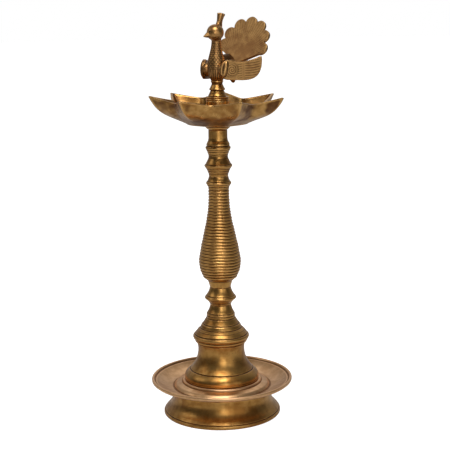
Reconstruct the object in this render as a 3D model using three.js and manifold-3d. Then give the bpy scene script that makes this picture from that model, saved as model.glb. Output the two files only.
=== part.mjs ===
// A brass standing oil lamp (samai): a footed drip plate carries a bell pedestal, a turned stem in
// screwed sections, a seven-spouted oil bowl and a peacock finial. Millimetres, +Z up, and the origin
// is the centre of the foot on the table.

import * as THREE from "three";
import { mergeVertices } from "three/addons/utils/BufferGeometryUtils.js";
import Module from "manifold-3d";

const wasm = await Module();
wasm.setup();

// ---------------------------------------------------------------- driving dimensions, millimetres

const SEAT_GAP = 0.3;            // space left between two faces that rest on each other
const TURN = 2 * Math.PI;

const FOOT = { radius: 67.5, height: 28.7, bead: 4, shoulderInset: 3.1, shoulderHeight: 8.9, neck: 56,
  wall: 3.4, web: 3.2 };
const BELL = { base: 43, waist: 26.7, bead: 32.4, cone: 21.4, collar: 16.3, neck: 12, wall: 3.6 };
const BELL_SECTIONS = { torus: 12.1, flare: 20.9, waist: 12.5, bead: 10.5, cone: 17, collar: 4.4,
  neck: 10.2 };
const PLATE = { radius: 81.5, rim: 13.3, wall: 3.4, lip: 2, step: 1.3, channel: 8.2, height: 10.9 };
const KNOP = { height: 20.5, neck: 12.1, bead: 18.4 };
const BALUSTER = { height: 113.9, neck: 12, bulge: 24.1, ribs: 30, ribDepth: 1.1, collar: 10.3 };
const COLLAR = { height: 13.3, radius: 14.3, neck: 11 };
const COLUMN = { height: 51.9, neck: 10.7, largeRing: 15.9, largeRingAt: 12.1, smallRing: 14.2,
  smallRingAt: 32.1 };
const BOWL_SEAT = { height: 3.3, radius: 13.6 };
const BOWL = { spouts: 7, tip: 77, notch: 56, rise: 32.5, dip: 5, floor: 34, floorRise: 3, wall: 3,
  firstTip: 84, sideSwell: 1.6, keelSwell: 5.6, rimTilt: 1.2, spoutLift: [0, 0, 1, 0, 0, 1.6, 1.2],
  boss: 12.8, bossHeight: 31.1 };
const FINIAL_RING = { height: 2, radius: 13.2 };
const FINIAL = { height: 17, base: 10.3, ring: 8.9, waist: 5.9, cup: 7.1 };
const BIRD = { yaw: -130, breast: 9.8, breastHeight: 23, neck: 4.9, headHeight: 52.3, head: 9.3,
  beak: 12, crest: 73.3, crestLean: 8, rumpReach: 34, peg: 3.4, pegLength: 6 };
const FAN = { scallops: 7, centre: 22, ring: 28, scallop: 7.6, spacing: 31, thickness: 4, lean: 28,
  turn: -4, rootBack: 34.5, rootHeight: 17, tang: 5.5, tangDepth: 6 };
const WING = { length: 49, height: 26, thickness: 4.4, splay: 28, shoulderForward: 9, shoulderOut: 12.6 };

const TIE_ROD = { radius: 4, grip: 10, below: 3 };
const WASHER = { radius: 16, thickness: 2.5 };
const NUT = { acrossFlats: 15, height: 7 };
const STEM_THREAD = { major: 6, depth: 1.1, pitch: 2.5, engaged: 11, grip: 11, clearance: 0.3 };
const FINIAL_THREAD = { major: 4.6, depth: 0.9, pitch: 2, engaged: 8.5, grip: 8, clearance: 0.3 };
const THREAD_SIDES = 16;
const WING_PIN = { radius: 1.8, forward: 2, height: 12 };
const FAN_PIN = { radius: 1.2, depth: 3.2 };

// ---------------------------------------------------------------- heights where the pieces meet

const BELL_HEIGHT = Object.values(BELL_SECTIONS).reduce((sum, section) => sum + section, 0);

const LEVEL = {};
LEVEL.foot = 0;
LEVEL.plate = LEVEL.foot + FOOT.height + SEAT_GAP;
LEVEL.bell = LEVEL.plate + PLATE.height + SEAT_GAP;
LEVEL.knop = LEVEL.bell + BELL_HEIGHT + SEAT_GAP;
LEVEL.baluster = LEVEL.knop + KNOP.height + SEAT_GAP;
LEVEL.collar = LEVEL.baluster + BALUSTER.height + SEAT_GAP;
LEVEL.column = LEVEL.collar + COLLAR.height + SEAT_GAP;
LEVEL.bowlSeat = LEVEL.column + COLUMN.height + SEAT_GAP;
LEVEL.bowl = LEVEL.bowlSeat + BOWL_SEAT.height + SEAT_GAP;
LEVEL.finialRing = LEVEL.bowl + BOWL.bossHeight + SEAT_GAP;
LEVEL.finial = LEVEL.finialRing + FINIAL_RING.height + SEAT_GAP;
LEVEL.bird = LEVEL.finial + FINIAL.height + SEAT_GAP;

// ---------------------------------------------------------------- solids and outlines

// A closed geometry as a solid that can be joined and cut.
function solidOf(geometry) {
  const bare = geometry.clone();
  bare.deleteAttribute("normal");
  bare.deleteAttribute("uv");
  const merged = mergeVertices(bare, 1e-4);
  return new wasm.Manifold(new wasm.Mesh({
    numProp: 3,
    vertProperties: new Float32Array(merged.attributes.position.array),
    triVerts: new Uint32Array(merged.index.array),
  }));
}

function geometryOf(solid) {
  const mesh = solid.getMesh();
  const geometry = new THREE.BufferGeometry();
  geometry.setAttribute("position", new THREE.BufferAttribute(mesh.vertProperties, 3));
  geometry.setIndex(new THREE.BufferAttribute(mesh.triVerts, 1));
  return geometry;
}

// Turns an outline of [radius, height] points about the Z axis. The outline runs outward along the
// bottom, up the outside and inward along the top, and starts and ends on the axis or closes on itself.
function turned(outline, sides) {
  const points = outline.map(([radius, height]) => new THREE.Vector2(radius, height));
  const lathe = new THREE.LatheGeometry(points, sides);
  lathe.rotateX(Math.PI / 2);
  return lathe;
}

// The same for a ring, whose outline closes on itself.
function turnedRing(outline, sides) {
  return turned([...outline, outline[0]], sides);
}

function rod(radius, bottom, top, sides) {
  return turned([[0, bottom], [radius, bottom], [radius, top], [0, top]], sides);
}

// Points of a smooth curve from one outline point to the next, pulled towards a corner point.
function curveTo(start, corner, end, steps) {
  const curve = new THREE.QuadraticBezierCurve(
    new THREE.Vector2(...start), new THREE.Vector2(...corner), new THREE.Vector2(...end));
  return curve.getPoints(steps).slice(1).map((point) => [point.x, point.y]);
}

// ---------------------------------------------------------------- screw threads

function minorRadius(thread) {
  return thread.major - thread.depth;
}

function shankRadius(thread) {
  return minorRadius(thread) + 0.1;
}

// A rod with a right-hand V thread on it, from one height to another. The thread's crests and roots
// follow one helix through the height phaseHeight at angle zero, so a male and a female thread mesh.
function threadedRod(thread, grow, bottom, top, phaseHeight) {
  const halfPitch = thread.pitch / 2;
  const first = Math.floor((bottom - phaseHeight) / halfPitch) - 4;
  const rows = Math.ceil((top - bottom) / halfPitch) + 8;
  const radii = [minorRadius(thread) + grow, thread.major + grow];
  const positions = [];
  for (let row = 0; row <= rows; row += 1) {
    for (let side = 0; side < THREAD_SIDES; side += 1) {
      const angle = (TURN * side) / THREAD_SIDES;
      const radius = radii[Math.abs(first + row) % 2];
      const height = phaseHeight + (first + row) * halfPitch + (thread.pitch * side) / THREAD_SIDES;
      positions.push(radius * Math.cos(angle), radius * Math.sin(angle), height);
    }
  }
  const lowEnd = positions.length / 3;
  positions.push(0, 0, bottom - 6 * thread.pitch);
  positions.push(0, 0, top + 6 * thread.pitch);
  const highEnd = lowEnd + 1;
  // A vertex of the helical grid: one side past the last is the first side, two rows higher.
  const vertex = (row, side) => {
    const turned = side === THREAD_SIDES;
    return turned ? (row + 2) * THREAD_SIDES : row * THREAD_SIDES + side;
  };
  const faces = [];
  const lastRow = rows - 2;
  for (let side = 0; side < THREAD_SIDES; side += 1) {
    for (let row = 0; row < lastRow; row += 1) {
      faces.push(vertex(row, side), vertex(row, side + 1), vertex(row + 1, side + 1));
      faces.push(vertex(row, side), vertex(row + 1, side + 1), vertex(row + 1, side));
    }
    faces.push(lowEnd, vertex(0, side + 1), vertex(0, side));
    faces.push(highEnd, vertex(lastRow, side), vertex(lastRow, side + 1));
  }
  faces.push(lowEnd, vertex(1, 0), vertex(2, 0), lowEnd, vertex(0, 0), vertex(1, 0));
  faces.push(highEnd, vertex(lastRow + 1, 0), vertex(lastRow, 0));
  faces.push(highEnd, vertex(lastRow + 2, 0), vertex(lastRow + 1, 0));
  const helix = new THREE.BufferGeometry();
  helix.setAttribute("position", new THREE.BufferAttribute(new Float32Array(positions), 3));
  helix.setIndex(faces);
  const wide = thread.major + grow + 1;
  return solidOf(helix).intersect(solidOf(rod(wide, bottom, top, THREAD_SIDES)));
}

// A stud: a plain shank below, and a thread with a tapered lead at its free end.
function stud(thread, shankBottom, threadBottom, top, phaseHeight) {
  const wide = thread.major + 1;
  const envelope = turned([
    [0, threadBottom],
    [wide, threadBottom],
    [wide, top - thread.depth - 1],
    [minorRadius(thread) - 0.4, top],
    [0, top],
  ], THREAD_SIDES);
  const screw = threadedRod(thread, 0, threadBottom, top, phaseHeight).intersect(solidOf(envelope));
  const shank = rod(shankRadius(thread), shankBottom, threadBottom + thread.pitch / 2, THREAD_SIDES);
  return screw.add(solidOf(shank));
}

// The space that a stud's thread needs in the piece screwed onto it, with a countersunk mouth.
function socket(thread, mouth, depth, phaseHeight) {
  const wide = thread.major + thread.clearance;
  const lead = wide - minorRadius(thread);
  const countersink = turned([
    [0, mouth - 1],
    [wide + 0.5, mouth - 1],
    [wide + 0.5, mouth],
    [wide - lead, mouth + lead],
    [0, mouth + lead],
  ], THREAD_SIDES);
  const hollow = threadedRod(thread, thread.clearance, mouth - 1, mouth + depth, phaseHeight);
  return hollow.add(solidOf(countersink));
}

// The bore that a stud's shank is fixed in, down from the top of a piece of that height.
function shankBore(thread, height) {
  const bottom = height - thread.grip - SEAT_GAP;
  return solidOf(rod(shankRadius(thread) + SEAT_GAP, bottom, height + 1, THREAD_SIDES));
}

// ---------------------------------------------------------------- base

function footRing() {
  const { radius, height, bead, shoulderInset, shoulderHeight, neck, wall, web } = FOOT;
  const hole = TIE_ROD.radius + SEAT_GAP;
  const shoulder = [radius - shoulderInset, shoulderHeight];
  const innerShoulder = [shoulder[0] - wall, shoulderHeight];
  return solidOf(turnedRing([
    [radius - wall - 1, 0],
    [radius, 0],
    [radius, bead],
    shoulder,
    ...curveTo(shoulder, [neck + 1, shoulderHeight + 5], [neck, height - 4], 4),
    [neck, height],
    [hole, height],
    [hole, height - web],
    [neck - wall, height - web],
    ...curveTo([neck - wall, height - web], [neck - wall + 1, shoulderHeight + 5], innerShoulder, 3),
    [radius - wall, bead],
  ], 32));
}

function dripPlate() {
  const { radius, rim, wall, lip, step, height } = PLATE;
  const hole = TIE_ROD.radius + SEAT_GAP;
  const under = FOOT.neck;
  const seat = BELL.base + lip;
  const platform = seat + step;
  const channel = platform + PLATE.channel;
  const stepHeight = height - 2.7;
  return solidOf(turnedRing([
    [hole, height - wall],
    [seat - wall - 1, height - wall],
    [platform + 1.5, 0],
    [under, 0],
    [radius - 2.4, rim - 4.8],
    [radius, rim - 2.8],
    [radius, rim - 1.1],
    [radius - 1.2, rim],
    [radius - 3.6, rim - 0.7],
    ...curveTo([radius - 3.6, rim - 0.7], [channel + 12, wall + 0.8], [channel + 1.4, wall - 0.2], 4),
    [channel, wall + 0.4],
    [channel - 0.8, stepHeight - 1.8],
    [platform, stepHeight],
    [seat, stepHeight + 0.1],
    [seat, height - 0.3],
    [seat - 0.6, height],
    [hole, height],
  ], 36));
}

// The heights inside the bell where its sections meet, and the crown that its hollow ends at.
function bellLevels() {
  const sections = BELL_SECTIONS;
  const torus = sections.torus;
  const flare = torus + sections.flare;
  const waist = flare + sections.waist;
  const bead = waist + sections.bead;
  const cone = bead + sections.cone;
  const collar = cone + sections.collar;
  return { torus, flare, waist, bead, cone, collar, crown: bead + 5 };
}

function bellPedestal() {
  const { base, waist, bead, cone, collar, neck, wall } = BELL;
  const level = bellLevels();
  const rodHole = TIE_ROD.radius + SEAT_GAP;
  const inner = waist - wall;
  const coneCorner = [collar + 1.7, level.cone - 3.5];
  const body = solidOf(turned([
    [0, level.crown + TIE_ROD.grip],
    [rodHole, level.crown + TIE_ROD.grip],
    [rodHole, level.crown],
    [bead - 20, level.crown],
    [bead - 9, level.bead - 3],
    [bead - 6.5, level.waist + 1.5],
    [inner, level.waist - 7.5],
    [inner, level.flare - 3],
    ...curveTo([inner, level.flare - 3], [inner + 0.5, level.torus + 8], [base - 10, level.torus - 2], 3),
    [base - wall, 4],
    [base - wall - 1, 0],
    [base - 1.2, 0],
    ...curveTo([base - 1.2, 0], [base + 2, 6], [base - 5.6, level.torus - 0.6], 4),
    [base - 6.4, level.torus],
    ...curveTo([base - 6.4, level.torus], [waist + 1.2, level.torus + 9], [waist, level.flare], 4),
    ...curveTo([waist, level.flare], [waist, level.flare + 7], [bead - 3, level.waist], 3),
    [bead - 1.6, level.waist + 1.5],
    [bead, level.waist + 5],
    [bead - 0.8, level.waist + 7.5],
    [bead - 2.8, level.bead],
    ...curveTo([bead - 2.8, level.bead], [cone + 3.2, level.bead + 2.6], [cone, level.bead + 10], 2),
    ...curveTo([cone + 0.2, level.bead + 10], coneCorner, [collar + 0.6, level.cone - 0.3], 2),
    [collar, level.cone],
    [collar, level.collar],
    ...curveTo([collar - 1.3, level.collar + 2.4], [neck + 1.2, level.collar + 4.6], [neck, BELL_HEIGHT], 2),
    [0, BELL_HEIGHT],
  ], 24));
  return body.subtract(shankBore(STEM_THREAD, BELL_HEIGHT));
}

function tieRod() {
  const top = LEVEL.bell + bellLevels().crown + TIE_ROD.grip - SEAT_GAP;
  return solidOf(rod(TIE_ROD.radius, nutLevel() - TIE_ROD.below, top, 12));
}

function washerLevel() {
  return FOOT.height - FOOT.web - SEAT_GAP - WASHER.thickness;
}

function nutLevel() {
  return washerLevel() - SEAT_GAP - NUT.height;
}

function baseWasher() {
  const hole = TIE_ROD.radius + SEAT_GAP;
  return solidOf(turnedRing([
    [hole, 0],
    [WASHER.radius, 0],
    [WASHER.radius, WASHER.thickness],
    [hole, WASHER.thickness],
  ], 24));
}

function baseNut() {
  const corner = NUT.acrossFlats / Math.sqrt(3);
  const hole = TIE_ROD.radius + SEAT_GAP;
  const hex = solidOf(rod(corner, 0, NUT.height, 6));
  return hex.subtract(solidOf(rod(hole, -1, NUT.height + 1, 12)));
}

// ---------------------------------------------------------------- stem

// The stud that joins two pieces of the stem: fixed in the lower one, through a loose turned ring,
// and into the threaded socket of the upper one.
function stemStud(ringHeight) {
  const shankBottom = -STEM_THREAD.grip;
  const threadBottom = ringHeight + 2 * SEAT_GAP;
  return stud(STEM_THREAD, shankBottom, threadBottom, threadBottom + STEM_THREAD.engaged, threadBottom);
}

// The socket of a piece that sits on the ring; its thread runs on from the stud's.
function stemSocket() {
  return socket(STEM_THREAD, 0, STEM_THREAD.engaged + 1.5, 0);
}

function ringBore() {
  return STEM_THREAD.major + 2 * SEAT_GAP;
}

function lowerKnop() {
  const { height, neck, bead } = KNOP;
  return solidOf(turnedRing([
    [ringBore(), 0],
    [neck, 0],
    ...curveTo([neck, 0], [neck + 1.4, 3.6], [bead - 1, 6.2], 2),
    ...curveTo([bead - 1, 6.2], [bead + 0.8, 8.6], [bead - 0.5, 10.9], 3),
    ...curveTo([bead - 0.5, 10.9], [neck + 1, 15.5], [neck, height], 3),
    [ringBore(), height],
  ], 24));
}

// The outside of the baluster before it is ribbed, as a smooth curve from collar to neck.
function balusterCurve() {
  const { height, neck, bulge, collar } = BALUSTER;
  const keys = [
    [bulge - 5.4, 0],
    [bulge - 1.3, 0.093],
    [bulge, 0.193],
    [bulge - 1.7, 0.309],
    [bulge - 5.9, 0.502],
    [neck + 2.2, 0.685],
    [neck + 0.3, 0.84],
    [neck, 1],
  ];
  const places = keys.map(([radius, share]) => new THREE.Vector2(radius, collar + (height - collar) * share));
  return new THREE.SplineCurve(places);
}

function ribbedBaluster() {
  const { height, neck, ribs, ribDepth, collar } = BALUSTER;
  const curve = balusterCurve();
  const radiusAt = (level) => {
    let low = 0;
    let high = 1;
    for (let step = 0; step < 30; step += 1) {
      const middle = (low + high) / 2;
      if (curve.getPoint(middle).y < level) low = middle;
      else high = middle;
    }
    return curve.getPoint(low).x;
  };
  const pitch = (height - collar) / (ribs + 0.5);
  const outline = [[0, 0], [neck, 0], ...curveTo([neck, 0], [neck + 1.2, 4.2], [neck + 2.2, 7.5], 2)];
  outline.push([neck + 4.4, 9], [radiusAt(collar) - ribDepth, collar]);
  for (let rib = 0; rib < ribs; rib += 1) {
    const crest = collar + (rib + 0.5) * pitch;
    const valley = collar + (rib + 1) * pitch;
    outline.push([radiusAt(crest), crest], [radiusAt(valley) - ribDepth, valley]);
  }
  outline.push([neck, height - pitch / 3], [neck, height], [0, height]);
  return solidOf(turned(outline, 16)).subtract(stemSocket()).subtract(shankBore(STEM_THREAD, height));
}

function columnCollar() {
  const { height, radius, neck } = COLLAR;
  return solidOf(turnedRing([
    [ringBore(), 0],
    [neck + 1, 0],
    [neck + 1, 1.4],
    ...curveTo([neck + 1, 1.4], [radius + 2.3, 5.9], [neck + 1.2, 10.4], 4),
    [neck, height],
    [ringBore(), height],
  ], 20));
}

function upperColumn() {
  const { height, neck, largeRing, largeRingAt, smallRing, smallRingAt } = COLUMN;
  const largeCorner = [largeRing + 1.5, largeRingAt - 0.2];
  const smallCorner = [smallRing + 1.2, smallRingAt - 0.1];
  const body = solidOf(turned([
    [0, 0],
    [neck + 0.1, 0],
    [neck + 0.6, largeRingAt - 8.9],
    [neck + 2.1, largeRingAt - 6.1],
    [neck + 2.3, largeRingAt - 4.7],
    ...curveTo([largeRing - 1.4, largeRingAt - 2.9], largeCorner, [largeRing - 1.7, largeRingAt + 2.9], 3),
    [neck + 2.4, largeRingAt + 5.2],
    [neck + 0.6, largeRingAt + 7.7],
    [neck, largeRingAt + 10.7],
    [neck + 1.4, smallRingAt - 5.7],
    [neck + 1.7, smallRingAt - 4.2],
    ...curveTo([smallRing - 1, smallRingAt - 3.1], smallCorner, [smallRing - 1, smallRingAt + 3.1], 3),
    [neck + 1.6, smallRingAt + 5.3],
    [neck + 0.5, smallRingAt + 7.9],
    [neck, smallRingAt + 10.5],
    [neck, height],
    [0, height],
  ], 16));
  return body.subtract(stemSocket()).subtract(shankBore(STEM_THREAD, height));
}

function bowlSeat() {
  const { height, radius } = BOWL_SEAT;
  const neck = COLUMN.neck;
  return solidOf(turnedRing([
    [ringBore(), 0],
    [neck + 0.1, 0],
    [neck + 1.4, 1.2],
    [radius, height - 0.8],
    [radius, height],
    [ringBore(), height],
  ], 20));
}

// ---------------------------------------------------------------- oil bowl

// How far round a spout an angle lies: 0 at a spout's tip, 1 in the notch between two spouts.
function spoutShare(angle) {
  const sector = TURN / BOWL.spouts;
  const fromTip = angle - THREE.MathUtils.degToRad(BOWL.firstTip);
  const offset = Math.abs(fromTip - sector * Math.round(fromTip / sector));
  return offset / (sector / 2);
}

// The rim's height: highest at the tips, which the founder bent up unevenly, and a little out of level.
function rimHeight(angle, radius) {
  const { spouts, rise, dip, rimTilt, spoutLift, firstTip } = BOWL;
  const share = spoutShare(angle);
  const spout = Math.round((angle - THREE.MathUtils.degToRad(firstTip)) / (TURN / spouts));
  const lift = spoutLift[(spout + spouts) % spouts] * (1 - share);
  const tilt = Math.tan(THREE.MathUtils.degToRad(rimTilt)) * radius * Math.cos(angle);
  return rise - dip * share ** 0.8 + lift - tilt;
}

// The rim's radius at an angle: a straight side from tip to notch, swelled a little in the middle.
function rimRadius(angle, inset) {
  const half = Math.PI / BOWL.spouts;
  const tip = BOWL.tip - inset * 1.6;
  const notch = BOWL.notch - inset;
  const share = spoutShare(angle);
  const across = share * half;
  const reach = tip * Math.sin(across) + notch * Math.sin(half - across);
  const straight = (tip * notch * Math.sin(half)) / reach;
  return straight + BOWL.sideSwell * Math.sin(Math.PI * share);
}

function bowlShell() {
  const { spouts, floor, floorRise, wall, firstTip } = BOWL;
  const sides = spouts * 6;
  const wallSteps = 3;
  const outline = [[0, 0], [14, 0], [floor, floorRise]];
  for (let step = 1; step <= wallSteps; step += 1) {
    outline.push([floor + step, floorRise + step]);
  }
  for (let step = wallSteps; step >= 1; step -= 1) {
    outline.push([floor - wall + step, floorRise + wall + step]);
  }
  outline.push([floor - wall, floorRise + wall + 0.4], [0, wall + 0.8]);
  const lathe = turned(outline, sides);
  const position = lathe.attributes.position;
  const corner = THREE.MathUtils.degToRad(firstTip);
  const points = outline.length;
  for (let index = 0; index < position.count; index += 1) {
    const place = index % points;
    const angle = corner + (TURN * Math.floor(index / points)) / sides;
    const outside = place <= 2 + wallSteps;
    const step = outside ? place - 2 : points - 2 - place;
    let radius = outline[place][0];
    let height = outline[place][1];
    if (step > 0 && place > 2 && place < points - 2) {
      const share = step / wallSteps;
      const start = outside ? [floor, floorRise] : [floor - wall, floorRise + wall + 0.4];
      const rim = rimRadius(angle, outside ? 0 : wall);
      const swell = BOWL.keelSwell * Math.sin(Math.PI * share ** 1.4);
      radius = THREE.MathUtils.lerp(start[0], rim, share) + swell * 0.5;
      height = THREE.MathUtils.lerp(start[1], rimHeight(angle, rim), share) - swell * 0.87;
    }
    position.setXYZ(index, radius * Math.cos(angle), radius * Math.sin(angle), height);
  }
  return solidOf(lathe);
}

function oilBowl() {
  const { boss, bossHeight } = BOWL;
  const hub = turned([
    [0, 1],
    [boss + 1.6, 1],
    [boss + 1.6, 4.6],
    [boss, 6.4],
    [boss, bossHeight],
    [0, bossHeight],
  ], 24);
  const finialSocket = socket(FINIAL_THREAD, 0, FINIAL_THREAD.engaged + 1.5, 0).rotate([180, 0, 0]);
  return bowlShell()
    .add(solidOf(hub))
    .subtract(stemSocket())
    .subtract(finialSocket.translate([0, 0, bossHeight]));
}

// ---------------------------------------------------------------- finial

function finialRing() {
  const bore = FINIAL_THREAD.major + 2 * SEAT_GAP;
  const { height, radius } = FINIAL_RING;
  return solidOf(turnedRing([
    [bore, 0], [radius - 0.6, 0], [radius, height / 2], [radius - 0.6, height], [bore, height],
  ], 24));
}

// The finial's stud points down: its shank is fixed in the finial and its thread enters the bowl's boss.
function finialStud() {
  const threadBottom = FINIAL_RING.height + 2 * SEAT_GAP;
  const top = threadBottom + FINIAL_THREAD.engaged;
  return stud(FINIAL_THREAD, -FINIAL_THREAD.grip, threadBottom, top, threadBottom).rotate([180, 0, 0]);
}

function finialBase() {
  const { height, base, ring, waist, cup } = FINIAL;
  const body = solidOf(turned([
    [0, 0],
    [base, 0],
    [ring + 0.1, 3],
    [ring - 1.3, 6.3],
    [ring, 7],
    [ring, 8.2],
    [ring - 0.8, 9],
    [waist + 0.6, 12.4],
    [waist, 13.8],
    [cup, 16],
    [cup, height],
    [0, height],
  ], 20));
  const shankHoleTop = FINIAL_THREAD.grip + SEAT_GAP;
  const shankHole = rod(shankRadius(FINIAL_THREAD) + SEAT_GAP, -1, shankHoleTop, THREAD_SIDES);
  const pegHole = rod(BIRD.peg + SEAT_GAP, height - BIRD.pegLength - SEAT_GAP, height + 1, 12);
  return body.subtract(solidOf(shankHole)).subtract(solidOf(pegHole));
}

// The bird is built facing +X with its left side towards +Y, and its height counted from its own seat.

function ball(radii, centre, wide, high) {
  const sphere = new THREE.SphereGeometry(1, wide, high);
  sphere.rotateX(Math.PI / 2);
  sphere.scale(...radii);
  sphere.translate(...centre);
  return solidOf(sphere);
}

function breastAndNeck() {
  const { breast, breastHeight, neck, headHeight } = BIRD;
  const outline = [
    [0, 0], [6.6, 0], [breast - 1, 4], [breast, 10], [breast - 0.2, 18], [breast - 1, breastHeight],
    [neck + 2, breastHeight + 4.5], [neck + 0.8, breastHeight + 9], [neck, breastHeight + 14],
    [neck, headHeight - 5], [0, headHeight - 4],
  ];
  const lathe = turned(outline, 20);
  const position = lathe.attributes.position;
  for (let index = 0; index < position.count; index += 1) {
    const height = position.getZ(index);
    const lean = 0.8 * Math.sin((Math.PI * Math.min(height, headHeight)) / headHeight);
    position.setX(index, position.getX(index) + lean);
  }
  return solidOf(lathe);
}

function beak() {
  const { head, headHeight, beak: length } = BIRD;
  const cone = new THREE.ConeGeometry(3.6, length, 10);
  cone.rotateZ(-Math.PI / 2);
  cone.rotateY(0.3);
  cone.translate(head + length / 2 + 0.6, 0, headHeight - 3);
  return solidOf(cone);
}

function crest() {
  const height = BIRD.crest - BIRD.headHeight;
  const foot = BIRD.head - 2;
  const lathe = turned([
    [0, foot],
    [2.8, foot],
    [3, BIRD.head + 1],
    [5, height - 1],
    [3.5, height],
    [0, height],
  ], 12);
  lathe.scale(1, 0.8, 1);
  const position = lathe.attributes.position;
  for (let index = 0; index < position.count; index += 1) {
    const rise = (position.getZ(index) - foot) / (height - foot);
    position.setX(index, position.getX(index) - BIRD.crestLean * rise);
  }
  lathe.translate(-1.5, 0, BIRD.headHeight);
  return solidOf(lathe);
}

function wingSolid(side, grow) {
  const { length, height, thickness, splay, shoulderForward, shoulderOut } = WING;
  const outline = new THREE.Shape();
  outline.moveTo(8, 1);
  outline.quadraticCurveTo(-1, 3, 0, 12.5);
  outline.quadraticCurveTo(0.5, 21.5, 9, 23);
  outline.quadraticCurveTo(26, 17, length, height);
  outline.quadraticCurveTo(length + 1, 11, length - 6, 4);
  outline.quadraticCurveTo(length - 12, -1.5, 22, 0.2);
  outline.lineTo(8, 1);
  const extrusion = { depth: thickness, bevelEnabled: false, curveSegments: 4 };
  const plate = new THREE.ExtrudeGeometry(outline, extrusion);
  plate.translate(-length / 2, -height / 2, -thickness / 2);
  plate.scale(1 + (2 * grow) / length, 1 + (2 * grow) / height, 1 + (2 * grow) / thickness);
  plate.translate(length / 2, height / 2, 0);
  const turn = THREE.MathUtils.degToRad(splay);
  const back = new THREE.Vector3(-Math.cos(turn), side * Math.sin(turn), 0);
  const up = new THREE.Vector3(0, 0, 1);
  const out = new THREE.Vector3().crossVectors(back, up);
  const frame = new THREE.Matrix4().makeBasis(back, up, out);
  frame.setPosition(shoulderForward, side * shoulderOut, 0);
  plate.applyMatrix4(frame);
  const lug = ball([11 + grow, 7 + grow, 8.5 + grow], [-1, side * 11.5, 12], 12, 8);
  return solidOf(plate).add(lug);
}

function fanSolid(grow) {
  const { scallops, centre, ring, scallop, spacing, thickness, lean, turn } = FAN;
  const { rootBack, rootHeight, tang, tangDepth } = FAN;
  const outline = new THREE.Shape();
  const half = tang + grow;
  outline.moveTo(-half, -tangDepth - grow);
  outline.lineTo(half, -tangDepth - grow);
  outline.lineTo(half, 2);
  const step = THREE.MathUtils.degToRad(spacing);
  const first = -((scallops - 1) / 2) * step;
  const reach = Math.sqrt(scallop ** 2 - (ring * Math.sin(step / 2)) ** 2);
  const notchRadius = ring * Math.cos(step / 2) + reach;
  for (let index = 0; index < scallops; index += 1) {
    const angle = -(first + index * step);
    const middle = [ring * Math.sin(angle), centre + ring * Math.cos(angle)];
    const low = angle + step / 2;
    const high = angle - step / 2;
    const start = [notchRadius * Math.sin(low) - middle[0], centre + notchRadius * Math.cos(low) - middle[1]];
    const end = [notchRadius * Math.sin(high) - middle[0], centre + notchRadius * Math.cos(high) - middle[1]];
    const from = Math.atan2(start[1], start[0]);
    let to = Math.atan2(end[1], end[0]);
    if (to < from) to += TURN;
    for (let part = 0; part <= 4; part += 1) {
      const bend = from + ((to - from) * part) / 4;
      if (part === 4 && index < scallops - 1) continue;
      outline.lineTo(middle[0] + scallop * Math.cos(bend), middle[1] + scallop * Math.sin(bend));
    }
  }
  outline.lineTo(-half, 2);
  const plate = new THREE.ExtrudeGeometry(outline, { depth: thickness + 2 * grow, bevelEnabled: false });
  plate.translate(0, 0, -thickness / 2 - grow);
  plate.rotateZ(THREE.MathUtils.degToRad(turn));
  const tilt = THREE.MathUtils.degToRad(lean);
  const across = new THREE.Vector3(0, 1, 0);
  const up = new THREE.Vector3(-Math.sin(tilt), 0, Math.cos(tilt));
  const frame = new THREE.Matrix4().makeBasis(across, up, new THREE.Vector3().crossVectors(across, up));
  frame.setPosition(-rootBack, 0, rootHeight);
  plate.applyMatrix4(frame);
  return solidOf(plate);
}

// A round pin across the bird, along its left-right axis.
function crossPin(radius, halfLength, forward, height) {
  const pin = rod(radius, -halfLength, halfLength, 12);
  pin.rotateX(Math.PI / 2);
  pin.translate(forward, 0, height);
  return solidOf(pin);
}

function wingPin(grow) {
  const reach = WING.shoulderOut + 4.4;
  return crossPin(WING_PIN.radius + grow, reach + grow, WING_PIN.forward, WING_PIN.height);
}

function fanPin(grow) {
  const tilt = THREE.MathUtils.degToRad(FAN.lean);
  const pin = rod(FAN_PIN.radius + grow, -5 - grow, 5 + grow, 10);
  pin.rotateY(Math.PI / 2 - tilt);
  const forward = -FAN.rootBack + Math.sin(tilt) * FAN_PIN.depth;
  pin.translate(forward, 0, FAN.rootHeight - Math.cos(tilt) * FAN_PIN.depth);
  return solidOf(pin);
}

function peacockBody() {
  const { rumpReach, head, headHeight, peg, pegLength } = BIRD;
  const rump = ball([rumpReach - 10, 11.5, 9.5], [-rumpReach / 2 + 4, 0, 13.5], 14, 8);
  const back = ball([13, 8, 10.5], [-rumpReach / 2 + 1, 0, 18], 12, 8);
  const leg = ball([3.6, 3, 5], [-22.5, 0, 2.7], 10, 6);
  return breastAndNeck()
    .add(rump)
    .add(back)
    .add(leg)
    .add(ball([head, head * 0.94, head], [2.8, 0, headHeight], 14, 10))
    .add(beak())
    .add(crest())
    .add(solidOf(rod(peg, -pegLength, 1, 12)))
    .subtract(wingSolid(1, SEAT_GAP))
    .subtract(wingSolid(-1, SEAT_GAP))
    .subtract(fanSolid(SEAT_GAP))
    .subtract(wingPin(SEAT_GAP))
    .subtract(fanPin(SEAT_GAP));
}

function peacockWing(side) {
  return wingSolid(side, 0).subtract(wingPin(SEAT_GAP));
}

function tailFan() {
  return fanSolid(0).subtract(fanPin(SEAT_GAP));
}

// ---------------------------------------------------------------- materials

function agedBrass() {
  return new THREE.MeshStandardMaterial({ color: 0xa9824a, roughness: 0.38, metalness: 1 });
}

function polishedBrass() {
  return new THREE.MeshStandardMaterial({ color: 0xb98f58, roughness: 0.3, metalness: 1 });
}

function rawBrass() {
  return new THREE.MeshStandardMaterial({ color: 0xc2a15c, roughness: 0.5, metalness: 1 });
}

// ---------------------------------------------------------------- assembly

const lamp = new THREE.Group();

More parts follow.
